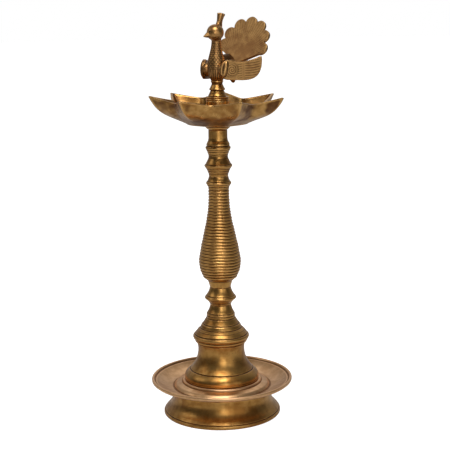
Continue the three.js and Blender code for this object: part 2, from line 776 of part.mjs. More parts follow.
function place(parent, name, solid, material, height) {
  const mesh = new THREE.Mesh(geometryOf(solid), material);
  mesh.name = name;
  mesh.position.z = height;
  parent.add(mesh);
}

place(lamp, "foot_ring", footRing(), agedBrass(), LEVEL.foot);
place(lamp, "drip_plate", dripPlate(), polishedBrass(), LEVEL.plate);
place(lamp, "bell_pedestal", bellPedestal(), agedBrass(), LEVEL.bell);
place(lamp, "base_tie_rod", tieRod(), rawBrass(), 0);
place(lamp, "base_washer", baseWasher(), rawBrass(), washerLevel());
place(lamp, "base_nut", baseNut(), rawBrass(), nutLevel());

place(lamp, "lower_stud", stemStud(KNOP.height), rawBrass(), LEVEL.knop - SEAT_GAP);
place(lamp, "lower_knop", lowerKnop(), agedBrass(), LEVEL.knop);
place(lamp, "ribbed_baluster", ribbedBaluster(), agedBrass(), LEVEL.baluster);
place(lamp, "middle_stud", stemStud(COLLAR.height), rawBrass(), LEVEL.collar - SEAT_GAP);
place(lamp, "column_collar", columnCollar(), agedBrass(), LEVEL.collar);
place(lamp, "upper_column", upperColumn(), agedBrass(), LEVEL.column);
place(lamp, "bowl_stud", stemStud(BOWL_SEAT.height), rawBrass(), LEVEL.bowlSeat - SEAT_GAP);
place(lamp, "bowl_seat", bowlSeat(), agedBrass(), LEVEL.bowlSeat);
place(lamp, "oil_bowl", oilBowl(), polishedBrass(), LEVEL.bowl);

place(lamp, "finial_ring", finialRing(), agedBrass(), LEVEL.finialRing);
place(lamp, "finial_stud", finialStud(), rawBrass(), LEVEL.finial);
place(lamp, "finial_base", finialBase(), agedBrass(), LEVEL.finial);

const bird = new THREE.Group();
bird.rotation.z = THREE.MathUtils.degToRad(BIRD.yaw);
bird.position.z = LEVEL.bird;
lamp.add(bird);
place(bird, "peacock_body", peacockBody(), agedBrass(), 0);
place(bird, "left_wing", peacockWing(1), agedBrass(), 0);
place(bird, "right_wing", peacockWing(-1), agedBrass(), 0);
place(bird, "wing_pin", wingPin(0), rawBrass(), 0);
place(bird, "tail_fan", tailFan(), agedBrass(), 0);
place(bird, "fan_pin", fanPin(0), rawBrass(), 0);

export default lamp;
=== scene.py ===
"""A brass standing oil lamp (samai): the looks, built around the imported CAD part.

Shapes are in millimetres. A turned piece's outline is (radius, height) pairs counted from its own foot.
Lights, camera and stage are in metres.
"""

import math

import bpy
import numpy as np
from mathutils import Matrix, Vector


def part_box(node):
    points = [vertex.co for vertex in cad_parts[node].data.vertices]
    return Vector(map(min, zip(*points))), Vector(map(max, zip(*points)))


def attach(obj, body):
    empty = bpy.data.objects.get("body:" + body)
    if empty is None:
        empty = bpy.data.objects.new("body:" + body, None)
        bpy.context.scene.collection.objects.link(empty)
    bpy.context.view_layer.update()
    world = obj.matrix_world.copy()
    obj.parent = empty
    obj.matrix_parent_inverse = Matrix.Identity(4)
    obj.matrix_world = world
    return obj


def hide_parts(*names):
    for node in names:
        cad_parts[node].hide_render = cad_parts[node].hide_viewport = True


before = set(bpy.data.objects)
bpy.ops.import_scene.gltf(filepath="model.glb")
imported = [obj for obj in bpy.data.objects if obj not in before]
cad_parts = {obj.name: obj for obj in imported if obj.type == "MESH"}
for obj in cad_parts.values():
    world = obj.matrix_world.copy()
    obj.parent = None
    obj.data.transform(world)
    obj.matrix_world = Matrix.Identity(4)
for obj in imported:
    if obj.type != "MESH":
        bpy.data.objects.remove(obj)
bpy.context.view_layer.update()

MM = 0.001
TURN = 2 * math.pi

# ------------------------------------------------------------------ outlines


def path(*steps):
    """Outline points: a pair is a straight step, a four is a curve's corner and its end."""
    points = [np.array(steps[0], float)]
    for step in steps[1:]:
        if len(step) == 2:
            points.append(np.array(step, float))
            continue
        start, corner, end = points[-1], np.array(step[:2], float), np.array(step[2:], float)
        length = np.linalg.norm(corner - start) + np.linalg.norm(end - corner)
        count = max(5, int(length / 0.7))
        for k in range(1, count + 1):
            t = k / count
            points.append((1 - t) ** 2 * start + 2 * t * (1 - t) * corner + t * t * end)
    return points


def rounded(points, fillet):
    """The same outline with each sharp corner eased by a small curve."""
    soft = [points[0]]
    for before, corner, after in zip(points, points[1:], points[2:]):
        u, v = corner - before, after - corner
        lu, lv = np.linalg.norm(u), np.linalg.norm(v)
        turn = math.acos(np.clip(np.dot(u, v) / (lu * lv + 1e-12), -1, 1))
        if turn < 0.2:
            soft.append(corner)
            continue
        cut = min(fillet, 0.45 * lu, 0.45 * lv)
        a, b = corner - u / lu * cut, corner + v / lv * cut
        for t in (0, 0.25, 0.5, 0.75, 1):
            soft.append((1 - t) ** 2 * a + 2 * t * (1 - t) * corner + t * t * b)
    soft.append(points[-1])
    return soft


def spaced(points, step):
    """The same outline with no straight run longer than step."""
    dense = [points[0]]
    for a, b in zip(points, points[1:]):
        count = max(1, math.ceil(np.linalg.norm(b - a) / step))
        dense += [a + (b - a) * k / count for k in range(1, count + 1)]
    return np.array(dense)


def outward(points):
    """Unit normals of an outline that runs up its outside."""
    along = np.gradient(points, axis=0)
    normal = np.stack([along[:, 1], -along[:, 0]], 1)
    return normal / (np.linalg.norm(normal, axis=1, keepdims=True) + 1e-9)


def grooved(points, grooves):
    """Turned grooves (height, width, depth) cut into an outline; a negative depth is a bead."""
    points = points.copy()
    normals = outward(points)
    for height, width, depth in grooves:
        share = np.abs(points[:, 1] - height) / (width / 2)
        points -= normals * (depth * np.clip(1 - share ** 2, 0, 1) ** 1.5)[:, None]
    return points


def bending(points, reach):
    """How far each outline point stands out of (+) or lies in (-) a chord of that reach."""
    run = np.r_[0, np.cumsum(np.linalg.norm(np.diff(points, axis=0), axis=1))]
    ahead = np.stack([np.interp(run + reach, run, points[:, k]) for k in (0, 1)], 1)
    behind = np.stack([np.interp(run - reach, run, points[:, k]) for k in (0, 1)], 1)
    return ((points - (ahead + behind) / 2) * outward(points)).sum(1) / reach


# ------------------------------------------------------------------ meshes


def linked(name, data):
    """A new object that is in the scene."""
    thing = bpy.data.objects.new(name, data)
    bpy.context.scene.collection.objects.link(thing)
    return thing


def mesh_object(name, points, faces, relief_and_shade, sharp=55):
    """A smooth-shaded mesh object from points in millimetres; edges over sharp degrees stay crisp."""
    mesh = bpy.data.meshes.new(name)
    mesh.from_pydata((np.asarray(points) * MM).tolist(), [], faces)
    mesh.validate()
    # The relief attribute holds each point's bends, and painted shade on the bowl and the bird; the brass
    # darkens where it is negative.
    values = mesh.attributes.new("relief_and_shade", "FLOAT", "POINT").data
    values.foreach_set("value", np.asarray(relief_and_shade, np.float32))
    mesh.shade_smooth()
    mesh.set_sharp_from_angle(angle=math.radians(sharp))
    return linked(name, mesh)


def grid_faces(rows, sides, loop=False):
    """Quads of a turned grid; a loop closes on itself, else one face closes each end at the axis."""
    faces = []
    for i in range(rows if loop else rows - 1):
        a, b = i * sides, ((i + 1) % rows) * sides
        for j in range(sides):
            k = (j + 1) % sides
            faces.append((a + j, a + k, b + k, b + j))
    if not loop:
        top = (rows - 1) * sides
        faces.append(tuple(range(sides - 1, -1, -1)))
        faces.append(tuple(range(top, top + sides)))
    return faces


def wander(angle, height, seed, amount):
    """A slow unevenness of a hand-finished casting, in millimetres."""
    total = np.zeros(np.broadcast(angle, height).shape)
    for k in range(1, 5):
        phase = seed * 1.7 + k * 2.1
        total += np.sin(k * angle + height * (0.05 * k) + phase) / k
        total += 0.5 * np.sin((k + 3) * angle - height * (0.09 * k) + 2 * phase) / k
    return amount * total / 2


def thread_wave(height, angle, minor, major, pitch):
    """Radius of a right-hand V thread at a height and an angle."""
    turn = height / pitch - angle / TURN
    return minor + (major - minor) * (1 - np.abs(2 * (turn % 1) - 1))


# ------------------------------------------------------------------ turned pieces

ON_AXIS = 0.01
ROW_STEP, THREAD_STEP, THREAD_LEAD_IN = 0.32, 0.2, 0.4
# A bore's inside gets the second value as its relief, which draws it darker.
RELIEF_REACH, BORE_DARKENING = 1.1, -0.15


def bored(outer, inside, thread):
    """The inside of a turned outline, with close rows where its thread is cut."""
    if not inside:
        return np.zeros((0, 2))
    inner = np.array(rounded([outer[-1], *path(*inside), outer[0]], 0.3)[1:-1])
    if not thread:
        return inner
    major = thread[2]
    rows = []
    for a, b in zip(inner, np.r_[inner[1:], inner[-1:]]):
        in_thread = abs(a[0] - major) < 0.05 and abs(b[0] - major) < 0.05
        count = max(1, int(abs(b[1] - a[1]) / THREAD_STEP)) if in_thread else 1
        rows += [a + (b - a) * k / count for k in range(count)]
    return np.array(rows)


def turned(name, outside, inside, base, sides, grooves=(), fillet=0.45, seed=0, uneven=0.05, thread=None):
    """A turned piece that stands at a base height: a finely cut outside, and a bored inside.

    thread is the (top, minor, major, pitch) of a right-hand thread that runs up the bore from its foot.
    """
    outer = grooved(spaced(rounded(path(*outside), fillet), ROW_STEP), grooves)
    inner = bored(outer, inside, thread)
    outline = np.vstack([outer, inner])
    relief_and_shade = np.r_[bending(outer, RELIEF_REACH), np.full(len(inner), BORE_DARKENING)]
    angle = np.arange(sides) * TURN / sides
    radius = np.repeat(outline[:, :1], sides, 1)
    height = np.repeat(outline[:, 1:], sides, 1)
    outer_rows = (np.arange(len(outline)) < len(outer))[:, None]
    radius = radius + outer_rows * wander(angle[None, :], height + base, seed, uneven)
    if thread:
        top, minor, major, pitch = thread
        threaded = ~outer_rows & (np.abs(outline[:, :1] - major) < 0.05)
        threaded = threaded & (height > THREAD_LEAD_IN) & (height < top)
        radius = np.where(threaded, thread_wave(height, angle[None, :], minor, major, pitch), radius)
    points = np.stack([radius * np.cos(angle), radius * np.sin(angle), height + base], 2)
    to_axis = len(inner) > 0 and inner[:, 0].min() < 3 * ON_AXIS
    if to_axis:
        order = np.roll(np.arange(len(outline)), -int(np.argmin(outline[:, 0])) - 1)
        points, relief_and_shade = points[order], relief_and_shade[order]
    faces = grid_faces(len(outline), sides, loop=not to_axis)
    return mesh_object(name, points.reshape(-1, 3), faces, np.repeat(relief_and_shade, sides))


# ------------------------------------------------------------------ levels of the pieces, in millimetres

GAP = 0.3  # between one screwed piece and the next


def level(node):
    """The height that a CAD node stands at."""
    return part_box(node)[0].z / MM


FOOT, PLATE, BELL = level("foot_ring"), level("drip_plate"), level("bell_pedestal")
KNOP, BALUSTER, COLLAR = level("lower_knop"), level("ribbed_baluster"), level("column_collar")
COLUMN, SEAT, BOWL = level("upper_column"), level("bowl_seat"), level("oil_bowl")
RING, FINIAL = level("finial_ring"), level("finial_base")
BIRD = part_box("finial_base")[1].z / MM + GAP

# ------------------------------------------------------------------ brass

# Noise scales are counts to the metre, and depths are in metres.
PATCH_SCALE, MOTTLE_SCALE, GRAIN_SCALE = 26, 150, 1300
TURNING_SCALE, STREAK_SCALE = 1100, 240
PIT_SCALE, PIT_PATCH_SCALE = 210, 60
LUMP_DEPTH, GRAIN_DEPTH, TURNING_DEPTH, PIT_DEPTH = 0.00022, 0.000035, 0.00006, 0.0004


def brass(name, colours, rough, turned_marks, seed, pits=0.5):
    """Aged cast brass: a golden metal with brown patina, tarnish and painted shade in hollows, wear on
    crests.
    """
    bright, brown, dark = colours
    material = bpy.data.materials.new(name)
    material.use_nodes = True
    nodes, links = material.node_tree.nodes, material.node_tree.links
    shader = nodes["Principled BSDF"]
    shader.inputs["Metallic"].default_value = 1.0
    shader.inputs["Coat Weight"].default_value = 0.2
    shader.inputs["Coat Roughness"].default_value = 0.3

    def math_node(kind, a, b=None, clamp=False):
        node = nodes.new("ShaderNodeMath")
        node.operation, node.use_clamp = kind, clamp
        for socket, value in zip(node.inputs, (a, b)):
            if value is None:
                continue
            if isinstance(value, (int, float)):
                socket.default_value = value
            else:
                links.new(value, socket)
        return node.outputs[0]

    def plus(a, b):
        return math_node("ADD", a, b)

    def minus(a, b):
        return math_node("SUBTRACT", a, b)

    def times(a, b, clamp=False):
        return math_node("MULTIPLY", a, b, clamp)

    def noise(scale, detail, vector, offset=0.0):
        node = nodes.new("ShaderNodeTexNoise")
        node.noise_dimensions = "4D"
        node.inputs["Scale"].default_value = scale
        node.inputs["Detail"].default_value = detail
        node.inputs["W"].default_value = seed * 3.3 + offset
        links.new(vector, node.inputs["Vector"])
        return node.outputs["Fac"]

    def ramp(value, low, high):
        node = nodes.new("ShaderNodeMapRange")
        node.interpolation_type = "SMOOTHSTEP"
        node.inputs["From Min"].default_value = low
        node.inputs["From Max"].default_value = high
        links.new(value, node.inputs["Value"])
        return node.outputs["Result"]

    def blend(factor, a, b):
        node = nodes.new("ShaderNodeMix")
        node.data_type = "RGBA"
        links.new(factor, node.inputs["Factor"])
        for socket, value in ((node.inputs[6], a), (node.inputs[7], b)):
            if isinstance(value, tuple):
                socket.default_value = (*value, 1)
            else:
                links.new(value, socket)
        return node.outputs[2]

    place = nodes.new("ShaderNodeTexCoord").outputs["Object"]
    split = nodes.new("ShaderNodeSeparateXYZ")
    links.new(place, split.inputs[0])
    x, y, z = split.outputs
    rings = nodes.new("ShaderNodeCombineXYZ")
    links.new(math_node("SQRT", plus(times(x, x), times(y, y))), rings.inputs[0])
    links.new(z, rings.inputs[2])
    relief_and_shade = nodes.new("ShaderNodeAttribute")
    relief_and_shade.attribute_name = "relief_and_shade"
    bend = relief_and_shade.outputs["Fac"]

    patches = noise(PATCH_SCALE, 4, place)
    mottle = noise(MOTTLE_SCALE, 5, place, 5)
    grain = noise(GRAIN_SCALE, 3, place, 9)
    turning = noise(TURNING_SCALE, 2, rings.outputs[0], 13)
    streaks = noise(STREAK_SCALE, 3, rings.outputs[0], 17)

    patina = ramp(plus(times(patches, 0.6), times(mottle, 0.4)), 0.42, 0.62)
    colour = blend(patina, bright, brown)
    streak = times(ramp(streaks, 0.5, 0.75), 0.45 * turned_marks)
    colour = blend(streak, colour, brown)
    # Tarnish and painted shade: where the relief attribute is negative (hollows, and painted shade on the
    # bowl and the bird), the colour goes towards the dark one.
    hollow_tarnish_and_shade = ramp(times(bend, -1), 0.01, 0.22)
    hollow_tarnish_and_shade = times(hollow_tarnish_and_shade, plus(times(mottle, 0.5), 0.7), clamp=True)
    colour = blend(hollow_tarnish_and_shade, colour, dark)
    worn = times(ramp(bend, 0.05, 0.3), 0.6)
    colour = blend(worn, colour, tuple(min(1, c * 1.25 + 0.03) for c in bright))
    pit = nodes.new("ShaderNodeTexVoronoi")
    pit.inputs["Scale"].default_value = PIT_SCALE
    pit.inputs["Randomness"].default_value = 1
    links.new(place, pit.inputs["Vector"])
    hole = minus(1.0, ramp(pit.outputs["Distance"], 0.05, 0.13))
    pitted = ramp(noise(PIT_PATCH_SCALE, 1, place, 23), 0.6, 0.66)
    hole = times(times(hole, pitted), pits)
    colour = blend(hole, colour, dark)
    links.new(colour, shader.inputs["Base Color"])

    gloss = plus(times(mottle, 0.22), rough - 0.11)
    gloss = plus(gloss, times(hollow_tarnish_and_shade, 0.22))
    links.new(gloss, shader.inputs["Roughness"])

    lumps = times(minus(mottle, 0.5), LUMP_DEPTH)
    fine = times(minus(grain, 0.5), GRAIN_DEPTH)
    marks = times(minus(turning, 0.5), TURNING_DEPTH * turned_marks)
    depth = plus(plus(lumps, fine), marks)
    depth = minus(depth, times(hole, PIT_DEPTH))
    bump = nodes.new("ShaderNodeBump")
    bump.inputs["Strength"].default_value = 0.8
    bump.inputs["Distance"].default_value = 1.0
    links.new(depth, bump.inputs["Height"])
    links.new(bump.outputs[0], shader.inputs["Normal"])
    return material


DARK = (0.085, 0.033, 0.007)
GOLDEN = ((0.57, 0.305, 0.08), (0.35, 0.15, 0.027), DARK)
# A lighter, pinker brass for the drip plate.
PLATE_TONE = ((0.76, 0.45, 0.22), (0.58, 0.315, 0.135), (0.27, 0.125, 0.045))
OILED = ((0.64, 0.36, 0.11), (0.36, 0.16, 0.035), (0.17, 0.066, 0.014))
DULL = ((0.55, 0.30, 0.10), (0.36, 0.17, 0.052), (0.07, 0.03, 0.009))
PALE = ((0.70, 0.50, 0.24), (0.50, 0.32, 0.13), DARK)
base_brass = brass("base_brass", GOLDEN, rough=0.33, turned_marks=1.0, seed=1)
plate_brass = brass("plate_brass", PLATE_TONE, rough=0.36, turned_marks=0.8, seed=2)
stem_brass = brass("stem_brass", GOLDEN, rough=0.32, turned_marks=1.0, seed=3)
bowl_brass = brass("bowl_brass", OILED, rough=0.3, turned_marks=0.15, seed=4)
finial_brass = brass("finial_brass", GOLDEN, rough=0.32, turned_marks=1.0, seed=5)
peacock_brass = brass("peacock_brass", DULL, rough=0.36, turned_marks=0.0, seed=6, pits=0.2)
fastener_brass = brass("fastener_brass", PALE, rough=0.4, turned_marks=0.6, seed=7, pits=0.1)


def dress(piece, body, node, material):
    """Gives a piece its material and the body it moves with, and hides the CAD node it stands for."""
    piece.data.materials.append(material)
    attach(piece, body)
    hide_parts(node)


# ------------------------------------------------------------------ base

foot = turned("foot_casting", [
    (63.1, 0), (66.7, 0), (67.5, 0.9), (67.5, 3.0), (66.9, 4.0), (66.3, 4.7), (65.9, 5.4),
    (63.6, 8.0), (57.2, 13.6, 56.3, 22.5), (56, 25.2), (56, 28.7), (4.3, 28.7),
], [
    (4.3, 25.5), (52.6, 25.5), (53.6, 13.9, 61, 8.9), (64.1, 4),
], FOOT, 224, grooves=[(4.6, 1.3, 0.4)], seed=1, uneven=0.12)
dress(foot, "base", "foot_ring", base_brass)

plate = turned("plate_casting", [
    (47.8, 0), (56, 0), (79.1, 8.3), (81.2, 9.9), (81.3, 12.0), (80.7, 13.0), (79.8, 13.3), (78.9, 13.0),
    (78.2, 12.2), (77.7, 10.9), (76.6, 10.7), (75.6, 10.9), (66.5, 4.5, 58.5, 3.2), (56.6, 2.9),
    (55.5, 3.3), (54.4, 5.2, 52.4, 6.6), (47.0, 8.2), (46.0, 8.3), (45.7, 8.9), (45.2, 10.3),
    (44.4, 10.9), (4.3, 10.9),
], [
    (4.3, 7.5), (40.6, 7.5),
], PLATE, 256, seed=2, uneven=0.16)
dress(plate, "base", "drip_plate", plate_brass)

BELL_GROOVES = [
    (12.3, 1.5, 0.6), (2.0, 0.9, 0.35), (43.2, 1.5, 0.6), (47.3, 1.3, 0.6), (53.7, 1.2, 0.5),
    (58.0, 1.0, 0.4), (61.0, 1.3, 0.6), (65.9, 1.3, 0.6), (72.4, 1.2, 0.6), (75.2, 1.1, 0.5),
    (78.4, 1.1, 0.5),
]
bell = turned("bell_casting", [
    (38.4, 0), (41.6, 0), (42.6, 0.5), (44.4, 6, 37.5, 11.4), (36.8, 12.1), (28.0, 20.6, 26.8, 33),
    (26.4, 38.5, 27.6, 42.6), (27.7, 43.4), (28.9, 43.8), (30.0, 45.2), (30.1, 46.3), (30.0, 47.2),
    (31.6, 48.2), (32.4, 50.2), (32.3, 51.6), (31.4, 53.0), (30.1, 53.9), (29.8, 54.8), (27.6, 57.4),
    (27.2, 58.2), (24.4, 60.4), (23.8, 61.2), (22.4, 64.4), (21.6, 65.4), (20.9, 66.0),
    (18.4, 69.4, 17.0, 72.5), (16.4, 73.1), (16.3, 77.2), (15.2, 79.4), (13.0, 82.4, 12, 87.6), (5.3, 87.6),
], [
    (5.3, 76.3), (ON_AXIS, 76.3), (ON_AXIS, 71), (4.3, 71), (4.3, 61), (12.4, 61), (23.4, 53), (25.9, 47),
    (23.1, 38), (23.1, 30), (23.6, 20, 33, 10), (39.4, 4),
], BELL, 192, grooves=BELL_GROOVES, seed=3, uneven=0.1)
dress(bell, "base", "bell_pedestal", base_brass)

# ------------------------------------------------------------------ stem

STEM_SOCKET = 12.5
STEM_MAJOR, STEM_MINOR, STEM_PITCH = 6.3, 5.2, 2.5
STEM_BORE = 6.6
STEM_THREAD = (STEM_SOCKET, STEM_MINOR, STEM_MAJOR, STEM_PITCH)
CHAMFER = 0.4

knop = turned("knop_casting", [
    (STEM_BORE, 0), (11.7, 0), (12.2, 0.6), (13.3, 3.4, 16.2, 6.0), (17.5, 7.0), (18.3, 8.3), (17.6, 9.6),
    (13.2, 14.6, 12.2, 20.0), (12.0, 20.5), (STEM_BORE, 20.5),
], [], KNOP, 144, grooves=[(6.0, 1.3, 0.6), (1.9, 1.0, 0.4), (11.0, 1.1, 0.5)], fillet=0.5, seed=4)
dress(knop, "knop", "lower_knop", stem_brass)

BULGE = [(18.7, 10.3), (22.8, 19.9), (24.1, 30.3), (22.4, 42.3), (18.2, 62.3), (14.2, 81.3),
         (12.3, 97.3), (12.0, 113.9)]
RIBS, RIB_DEPTH, RIB_TOP, ROWS_A_RIB = 30, 1.3, 112.2, 13


def smooth_through(keys, heights):
    """A smooth curve of radius against height through the (radius, height) keys."""
    r, z = np.array(keys).T
    slope = np.gradient(r, z)
    index = np.clip(np.searchsorted(z, heights) - 1, 0, len(z) - 2)
    span = z[index + 1] - z[index]
    t = (heights - z[index]) / span
    return ((2 * t**3 - 3 * t**2 + 1) * r[index] + (t**3 - 2 * t**2 + t) * span * slope[index]
            + (-2 * t**3 + 3 * t**2) * r[index + 1] + (t**3 - t**2) * span * slope[index + 1])


def ribbed_outline():
    """The baluster's outside: full round ribs, each a little different in size, over a smooth bulge."""
    start = BULGE[0][1]
    heights = np.linspace(start, RIB_TOP, RIBS * ROWS_A_RIB + 1)
    share = (heights - start) / (RIB_TOP - start) * RIBS
    rib = np.floor(share)
    from_middle = np.abs(2 * (share % 1) - 1)
    fullness = np.clip(1 - from_middle ** 2.2, 0, 1) ** 0.8
    irregular = 0.12 * np.sin(1.3 * rib) + 0.1 * np.sin(4.1 * rib + 1)
    radius = smooth_through(BULGE, heights) - RIB_DEPTH + (RIB_DEPTH + irregular * 0.6) * fullness
    return [tuple(p) for p in np.stack([radius, heights], 1)]


def stem_bore(floor):
    """Inside of a stem piece: a hole from its top down to a floor, and a threaded socket at its foot."""
    socket = [(ON_AXIS, STEM_SOCKET), (STEM_MAJOR, STEM_SOCKET), (STEM_MAJOR, CHAMFER)]
    return [(5.3, floor), (ON_AXIS, floor), *socket]


baluster = turned("baluster_casting", [
    (STEM_MAJOR + CHAMFER, 0), (11.8, 0), (12.1, 0.5), (13.0, 4.0, 14.0, 7.1), (14.6, 7.7), (16.2, 9.0),
    (17.2, 10.0), *ribbed_outline(), (11.6, 112.9), (11.9, 113.5), (11.7, 113.9), (5.3, 113.9),
], stem_bore(102.6), BALUSTER, 144, grooves=[(7.5, 1.0, 0.45)], fillet=0.3, seed=5, uneven=0.06,
    thread=STEM_THREAD)
dress(baluster, "baluster", "ribbed_baluster", stem_brass)

collar = turned("collar_casting", [
    (STEM_BORE, 0), (11.8, 0), (12, 1.3), (12.6, 2.3), (13.6, 4.0), (14.3, 5.2), (14.3, 6.3), (13.4, 7.6),
    (11.6, 9.6, 11.1, 13.0), (10.9, 13.3), (STEM_BORE, 13.3),
], [], COLLAR, 128, grooves=[(1.7, 1.1, 0.55), (4.1, 1.0, 0.5), (7.9, 1.0, 0.45)], fillet=0.35, seed=6)
dress(collar, "collar", "column_collar", stem_brass)

COLUMN_GROOVES = [
    (5.9, 1.1, 0.5), (8.4, 1.0, 0.5), (13.6, 1.1, 0.5), (24.6, 1.0, 0.4), (27.8, 1.0, 0.5), (30.2, 0.9, 0.4),
    (34.4, 1.5, 0.8),
]
column = turned("column_casting", [
    (STEM_MAJOR + CHAMFER, 0), (10.7, 0), (10.9, 0.6), (11.3, 3.2), (12.6, 5.7), (12.9, 7.0), (14.0, 8.7),
    (15.2, 10.6), (15.8, 11.9), (15.3, 13.2), (13.9, 14.6), (12.6, 17.2, 11.1, 20.4), (10.8, 22.8),
    (11.9, 26.3), (12.4, 27.6), (13.1, 29.2), (13.9, 30.7), (14.2, 32.0), (13.8, 33.5), (13.2, 34.5),
    (12.9, 36.6), (11.2, 40), (10.7, 42.6), (10.7, 51.4), (10.4, 51.9), (5.3, 51.9),
], stem_bore(40.6), COLUMN, 128, grooves=COLUMN_GROOVES, fillet=0.4, seed=7, thread=STEM_THREAD)
dress(column, "column", "upper_column", stem_brass)

seat = turned("seat_casting", [
    (STEM_BORE, 0), (10.6, 0), (12.0, 1.1), (13.5, 2.4), (13.6, 3.0), (13.3, 3.3), (STEM_BORE, 3.3),
], [], SEAT, 128, fillet=0.3, seed=8)
dress(seat, "bowl_seat_ring", "bowl_seat", stem_brass)

# ------------------------------------------------------------------ hidden screws

STUD_SHANK, STUD_MINOR, STUD_MAJOR, STUD_LENGTH = 5, 4.9, 6, 11
FINIAL_PITCH = 2.0


def stud(name, node, body, low, start, top, sizes, flip=None):
    """A stud from low to top with a plain shank and, from start on, a right-hand thread.

    sizes is (shank, minor, major, pitch); flip is the height that the stud is turned over at.
    """
    shank, minor, major, pitch = sizes
    sides, depth = 48, major - minor
    plain = [(ON_AXIS, low), (shank - 0.4, low), (shank, low + 0.4), (shank, start)]
    heights = np.arange(start, top + 0.01, 0.18)
    outline = np.array(plain + [(major, z) for z in heights] + [(ON_AXIS, top)])
    angle = np.arange(sides) * TURN / sides
    height = np.repeat(outline[:, 1:], sides, 1)
    wave = thread_wave(height - start, angle[None, :], minor, major, pitch)
    wave = np.minimum(wave, major - depth + np.clip(top - height, 0, depth))
    threaded = np.zeros((len(outline), 1), bool)
    threaded[len(plain):-1] = True
    radius = np.where(threaded, wave, outline[:, :1])
    x, y, z = radius * np.cos(angle), radius * np.sin(angle), height
    if flip is not None:
        y, z = -y, 2 * flip - z
    points = np.stack([x, y, z], 2).reshape(-1, 3)
    relief_and_shade = np.where(threaded, (radius - minor) / depth - 0.6, 0).reshape(-1) * 0.4
    piece = mesh_object(name, points, grid_faces(len(outline), sides), relief_and_shade)
    dress(piece, body, node, fastener_brass)


for name, node, body, under, above in (
    ("lower_stud_thread", "lower_stud", "base", KNOP, BALUSTER),
    ("middle_stud_thread", "middle_stud", "baluster", COLLAR, COLUMN),
    ("bowl_stud_thread", "bowl_stud", "column", SEAT, BOWL),
):
    stud(name, node, body, under - GAP - STUD_LENGTH, above, above + STUD_LENGTH,
         (STUD_SHANK, STUD_MINOR, STUD_MAJOR, STEM_PITCH))
boss_mouth = 2 * FINIAL - (RING - GAP)
stud("finial_stud_thread", "finial_stud", "finial", FINIAL - 8, boss_mouth, boss_mouth + 8.5,
     (3.8, 3.7, 4.6, FINIAL_PITCH), flip=FINIAL)

# ------------------------------------------------------------------ oil bowl

SPOUTS, FIRST_TIP = 7, math.radians(84)
TIP, NOTCH, RISE, DIP, WALL = 77, 56, 32.5, 5, 3
FLOOR, FLOOR_RISE, FLOOR_FLAT = 34, 3, 14
SPOUT_LIFT = np.array([0, 0, 1, 0, 0, 1.6, 1.2])
RIM_TILT = math.tan(math.radians(1.2))
NOTCH_EASE, SIDE_SWELL, KEEL_SWELL, KEEL_RIDGE = 0.24, 1.6, 5.6, 0.9
OUTER_ROWS, INNER_ROWS, BELOW_RIM = 46, 40, 0.985
UNDERSIDE = (9, 12, 13.6, 14.6, 17, 20, 23, 26, 29, 31.5, 33)
BOSS_TOP, BOSS_BORE, BOSS_HOLE, BOSS_MINOR, BOSS_MAJOR = 31.1, 5.3, 10, 4.0, 4.9
INSIDE = (
    (30, 5.3), (28.5, 4.6), (26, 4.2), (22, 4.0), (18, 3.9), (15.8, 4.0), (14.8, 4.4), (14.2, 5.1),
    (13.4, 6.0), (12.9, 7.0), (12.8, 9), (12.8, 14), (12.8, 19), (12.8, 24), (12.8, 28.0),
    (12.75, 28.6), (12.35, 28.9), (12.35, 29.3), (12.8, 29.6), (12.8, 30.4), (12.6, 30.9),
    (12.2, BOSS_TOP), (8, BOSS_TOP), (BOSS_BORE, BOSS_TOP),
)
# Darker patches on the bowl: direction in degrees, distance from the axis, spread, strength.
DARK_PATCHES = (
    (246, 44, 11, 0.2), (306, 57, 11, 0.2), (276, 40, 7, 0.14), (205, 62, 12, 0.16), (335, 68, 12, 0.18),
)


def spout_share(angle):
    """0 at a spout's tip, 1 in the notch between two spouts."""
    sector = TURN / SPOUTS
    offset = np.abs((angle - FIRST_TIP) - sector * np.round((angle - FIRST_TIP) / sector))
    return offset / (sector / 2)


def eased(share):
    """The share with the notch rounded, so that the wall runs smoothly from tip to tip."""
    ease = NOTCH_EASE
    return 1 - (np.sqrt((1 - share) ** 2 + ease ** 2) - ease) / (math.sqrt(1 + ease ** 2) - ease)


def rim_height(angle, radius):
    """Height of the rim, which dips at the notches, lifts at some tips and is a little out of level."""
    share = eased(spout_share(angle))
    spout = np.round((angle - FIRST_TIP) / (TURN / SPOUTS)).astype(int) % SPOUTS
    return RISE - DIP * share ** 0.8 + SPOUT_LIFT[spout] * (1 - share) - RIM_TILT * radius * np.cos(angle)


def rim_radius(angle, inset):
    """Distance of the rim from the axis: nearly straight sides between the tips and the notches."""
    half = math.pi / SPOUTS
    tip, notch = TIP - inset * 1.6, NOTCH - inset
    share = eased(spout_share(angle))
    across = share * half
    straight = tip * notch * math.sin(half) / (tip * np.sin(across) + notch * np.sin(half - across))
    return straight + SIDE_SWELL * np.sin(math.pi * share)


def bowl_wall(angle, share, inset):
    """Radius and height of the bowl's wall, at a share of the way from the floor to the rim."""
    foot_radius, foot_height = FLOOR - inset, FLOOR_RISE + inset * 1.13
    rim = rim_radius(angle, inset)
    swell = KEEL_SWELL * np.sin(math.pi * share ** 1.4)
    crease = 1 - np.clip(spout_share(angle) / 0.3, 0, 1)
    ridge = KEEL_RIDGE * crease ** 2 * math.sin(math.pi * min(share, 1)) * (1 if inset == 0 else 0.6)
    radius = foot_radius + (rim - foot_radius) * share + swell * 0.5 + ridge
    height = foot_height + (rim_height(angle, rim) - foot_height) * share - swell * 0.87
    return radius, height


